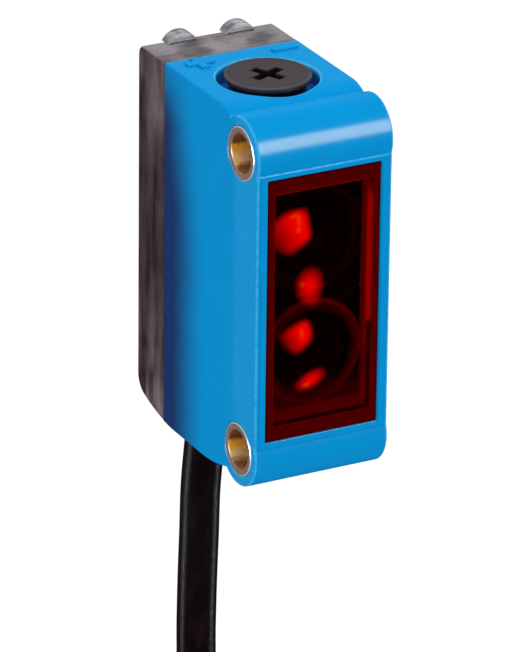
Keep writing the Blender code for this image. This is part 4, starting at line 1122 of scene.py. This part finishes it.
def build_window():
    """The red pane with its polished edges, and the welding rim behind it."""
    flange = WINDOW_HALF - Vector((WINDOW_GAP, WINDOW_GAP))
    pane = slab("red_pane", window_rectangle(flange, 0.1, 3), 'Y',
                (WINDOW_FRONT_Y, WINDOW_BACK_Y - WINDOW_GAP), 0.05, 3)
    settle(pane, "red_window", "front_window")
    outer = Vector((4.95, 9.72))
    inner = outer - Vector((0.2, 0.25))
    outer_corner, inner_corner = 0.2, 0.12
    front, middle, back = WINDOW_BACK_Y + 0.02, WINDOW_BACK_Y + 0.2, 3.1
    loops = []
    for half_size, y, corner in ((flange, front, outer_corner), (flange, middle, outer_corner),
                                 (outer, middle, outer_corner), (outer, back, outer_corner),
                                 (inner, back, inner_corner), (inner, front, inner_corner)):
        loops += sections(window_rectangle(half_size, corner, 4), [(y, 0.0)], 'Y')
    settle(new_object("window_rim", loft(loops, closed=True)), "red_window", finish="red_rim")


def cap_heights(radius, rise, steps):
    """(radius, height) points up a spherical cap, from its rim to its middle."""
    sphere = (radius ** 2 + rise ** 2) / (2 * rise)
    radii = [radius * math.cos(QUARTER * step / steps) for step in range(steps + 1)]
    return [(r, math.sqrt(sphere ** 2 - r ** 2) - (sphere - rise)) for r in radii]


def build_lenses():
    """Two lenses on square flanges, each with a raised ring round its curve."""
    front_y, back_y, ring_radius = 2.3, 3.2, 4.42
    half = Vector((4.45, LENS_PITCH / 2 - 0.05))
    back = [(r, -h - (back_y - front_y)) for r, h in reversed(cap_heights(3.9, 1.2, 10))]
    ring = [(ring_radius, -0.45), (ring_radius, 0.0), (4.4, 0.16), (4.33, 0.2), (4.24, 0.18), (4.17, 0.08)]
    profile = back + ring + cap_heights(4.12, 0.78, 14)
    for name, z in LENS_HEIGHTS.items():
        curve = turned("curve", profile, placed(Vector((0, front_y, z)), Vector((0, -1, 0))), 96)
        outline = rectangle(Vector((0, z)) - half, Vector((0, z)) + half, 0.3)
        lens = slab(name + "_lens_body", outline, 'Y', (front_y, back_y), 0.08, 2)
        combine(lens, 'UNION', curve)
        settle(lens, "clear_lens", name + "_lens", smooth_angle=40.0)


# ---- knob

def build_knob():
    """The round knob: a flanged head with a softened rim and a cross recess for a screwdriver."""
    pin, neck, groove = 0.8, 2.05, 1.45
    foot, shoulder, groove_low, groove_high, head = 27.8, 28.65, 29.05, 29.8, 30.25
    waist, dish, dish_depth = KNOB_RADIUS - KNOB_UNDERCUT, KNOB_RADIUS - 0.42, 0.03
    corners = [(0.0, foot, 0.0), (pin, foot, 0.08), (pin, shoulder, 0.0), (neck, shoulder, 0.1),
               (neck, groove_low, 0.0), (groove, groove_low, 0.0), (groove, groove_high, 0.0),
               (neck, groove_high, 0.0), (neck, head, 0.0), (waist, head, 0.08),
               (waist, KNOB_FLANGE - 0.15, 0.05), (KNOB_RADIUS, KNOB_FLANGE, 0.06),
               (KNOB_RADIUS, KNOB_TOP, 0.14), (dish, KNOB_TOP, 0.03),
               (dish - 0.05, KNOB_TOP - dish_depth, 0.03), (0.0, KNOB_TOP - dish_depth, 0.0)]
    knob = turned("knob", rounded_profile(corners, 6), Matrix.Translation((0, ADJUSTER_Y, 0)), 120)
    stations = [(KNOB_TOP - 1.1, 0.12), (KNOB_TOP - 0.13, 0.0), (KNOB_TOP - 0.07, -0.02),
                (KNOB_TOP - 0.02, -0.07), (KNOB_TOP + 1.0, -0.07)]
    cross = new_object("cross", loft(sections(plus_outline((0.0, 0.0), 3.1, 0.85), stations, 'Z')))
    cross.data.transform(Matrix.Translation((0, ADJUSTER_Y, 0)) @ Matrix.Rotation(CROSS_ANGLE, 4, 'Z'))
    combine(knob, 'DIFFERENCE', cross)
    settle(knob, "knob_plastic", "adjuster_knob", body=TURNING)


# ---- what stays from the frame

INNER_SLOTS = {
    "black_plastic": ("optics_carrier", "receiver_photodiode", "signal_processor", "voltage_regulator",
                      "output_transistor", "potentiometer_rotor"),
    "white_plastic": ("emitter_led", "power_indicator_led", "switching_indicator_led", "potentiometer_body"),
    "circuit_board": ("main_board",),
    "tinned_steel": ("receiver_shield", "cable_crimp"),
    "ceramic": ("supply_capacitor", "timing_capacitor"),
    "rubber": ("knob_seal_ring",),
    "cable_jacket": ("cable_jacket_end",),
    **{"wire_" + colour: ("inner_wire_" + colour,) for colour in CONDUCTORS},
}


def dress_frame():
    """Give every part that still shows from the frame its own finish."""
    slot_of = {name: slot for slot, names in INNER_SLOTS.items() for name in names}
    for name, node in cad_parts.items():
        if not node.hide_render:
            node.data.materials.clear()
            node.data.materials.append(FINISHES[slot_of[name]])


# ---- stage and light

def make_floor():
    """A plain white floor well below the hanging coil."""
    drop, reach = 0.03, 4.0
    shape = bmesh.new()
    corners = rectangle((-reach, -reach), (reach, reach))
    shape.faces.new([shape.verts.new((x, y, cad_low.z - drop)) for x, y in corners])
    floor = new_object("floor", shape)
    paper = Finish("floor", (0.96, 0.96, 0.96), Roughness=0.9)
    paper.set(Base_Color=paper.speckle(0.02, 2.0).mix((0.95, 0.95, 0.95), (0.97, 0.97, 0.97)))
    floor.data.materials.append(FINISHES["floor"])
    floor.visible_glossy = False


LIT_POINT = Vector((0, 8, 16))


def soft_light(name, azimuth, elevation, size, power, away=0.6, only_on=(), colour=(1, 1, 1)):
    """A rectangular soft light aimed at the housing; one for only some pieces shows as a reflection."""
    data = bpy.data.lights.new(name, 'AREA')
    data.shape = 'RECTANGLE'
    data.size, data.size_y = size
    data.energy = power
    data.color = colour
    aim = toward(math.radians(azimuth), math.radians(elevation))
    lamp = put(name, data, TO_FRAME @ LIT_POINT + aim * away, aim.to_track_quat('Z', 'Y'))
    if only_on:
        lamp.visible_diffuse = False
        lit = bpy.data.collections.new("lit_by_" + name)
        for piece in only_on:
            lit.objects.link(bpy.data.objects[piece])
        lamp.light_linking.receiver_collection = lit


def make_light():
    """A white tent, dimmer where it is mirrored, a soft top light and cards for the highlights."""
    world = bpy.data.worlds.new("white_tent")
    world.use_nodes = True
    tree = world.node_tree
    z = grown(tree, 'TexCoord', {}, 'Generated').axes()[2]
    lit = z.ramp(-0.12, 0.1).mix((0.05, 0.05, 0.052), (1.0, 1.0, 1.0))
    mirrored = z.ramp(-0.05, 0.3).mix((0.012, 0.012, 0.012), (0.34, 0.34, 0.35))
    is_mirrored = grown(tree, 'LightPath', {}, 'Is Glossy Ray')
    feed(tree.nodes['Background'].inputs['Color'], is_mirrored.mix(lit, mirrored))
    bpy.context.scene.world = world
    blue = ("blue_housing",)
    cable = ("cable_cord",)
    inserts = ("lower_brass_insert", "upper_brass_insert")
    soft_light("top_softbox", -20.0, 78.0, (0.5, 0.5), 1.3, away=0.7)
    soft_light("highlight_card", 27.0, 26.0, (0.3, 0.32), 31.0, only_on=blue, colour=(1.0, 0.94, 0.62))
    soft_light("edge_card", -66.0, -2.0, (0.12, 0.5), 14.0, only_on=blue + inserts)
    soft_light("left_low_card", -118.0, -23.5, (0.12, 0.3), 3.2, only_on=cable)
    soft_light("right_low_card", 74.0, -23.5, (0.12, 0.3), 1.9, only_on=cable)
    bpy.context.scene.view_settings.view_transform = 'Standard'


# ---- all together

make_camera()
make_finishes()
build_cable()
build_housing()
build_cover()
build_light_guides()
build_inserts()
build_window()
build_lenses()
build_knob()
dress_frame()
make_floor()
make_light()
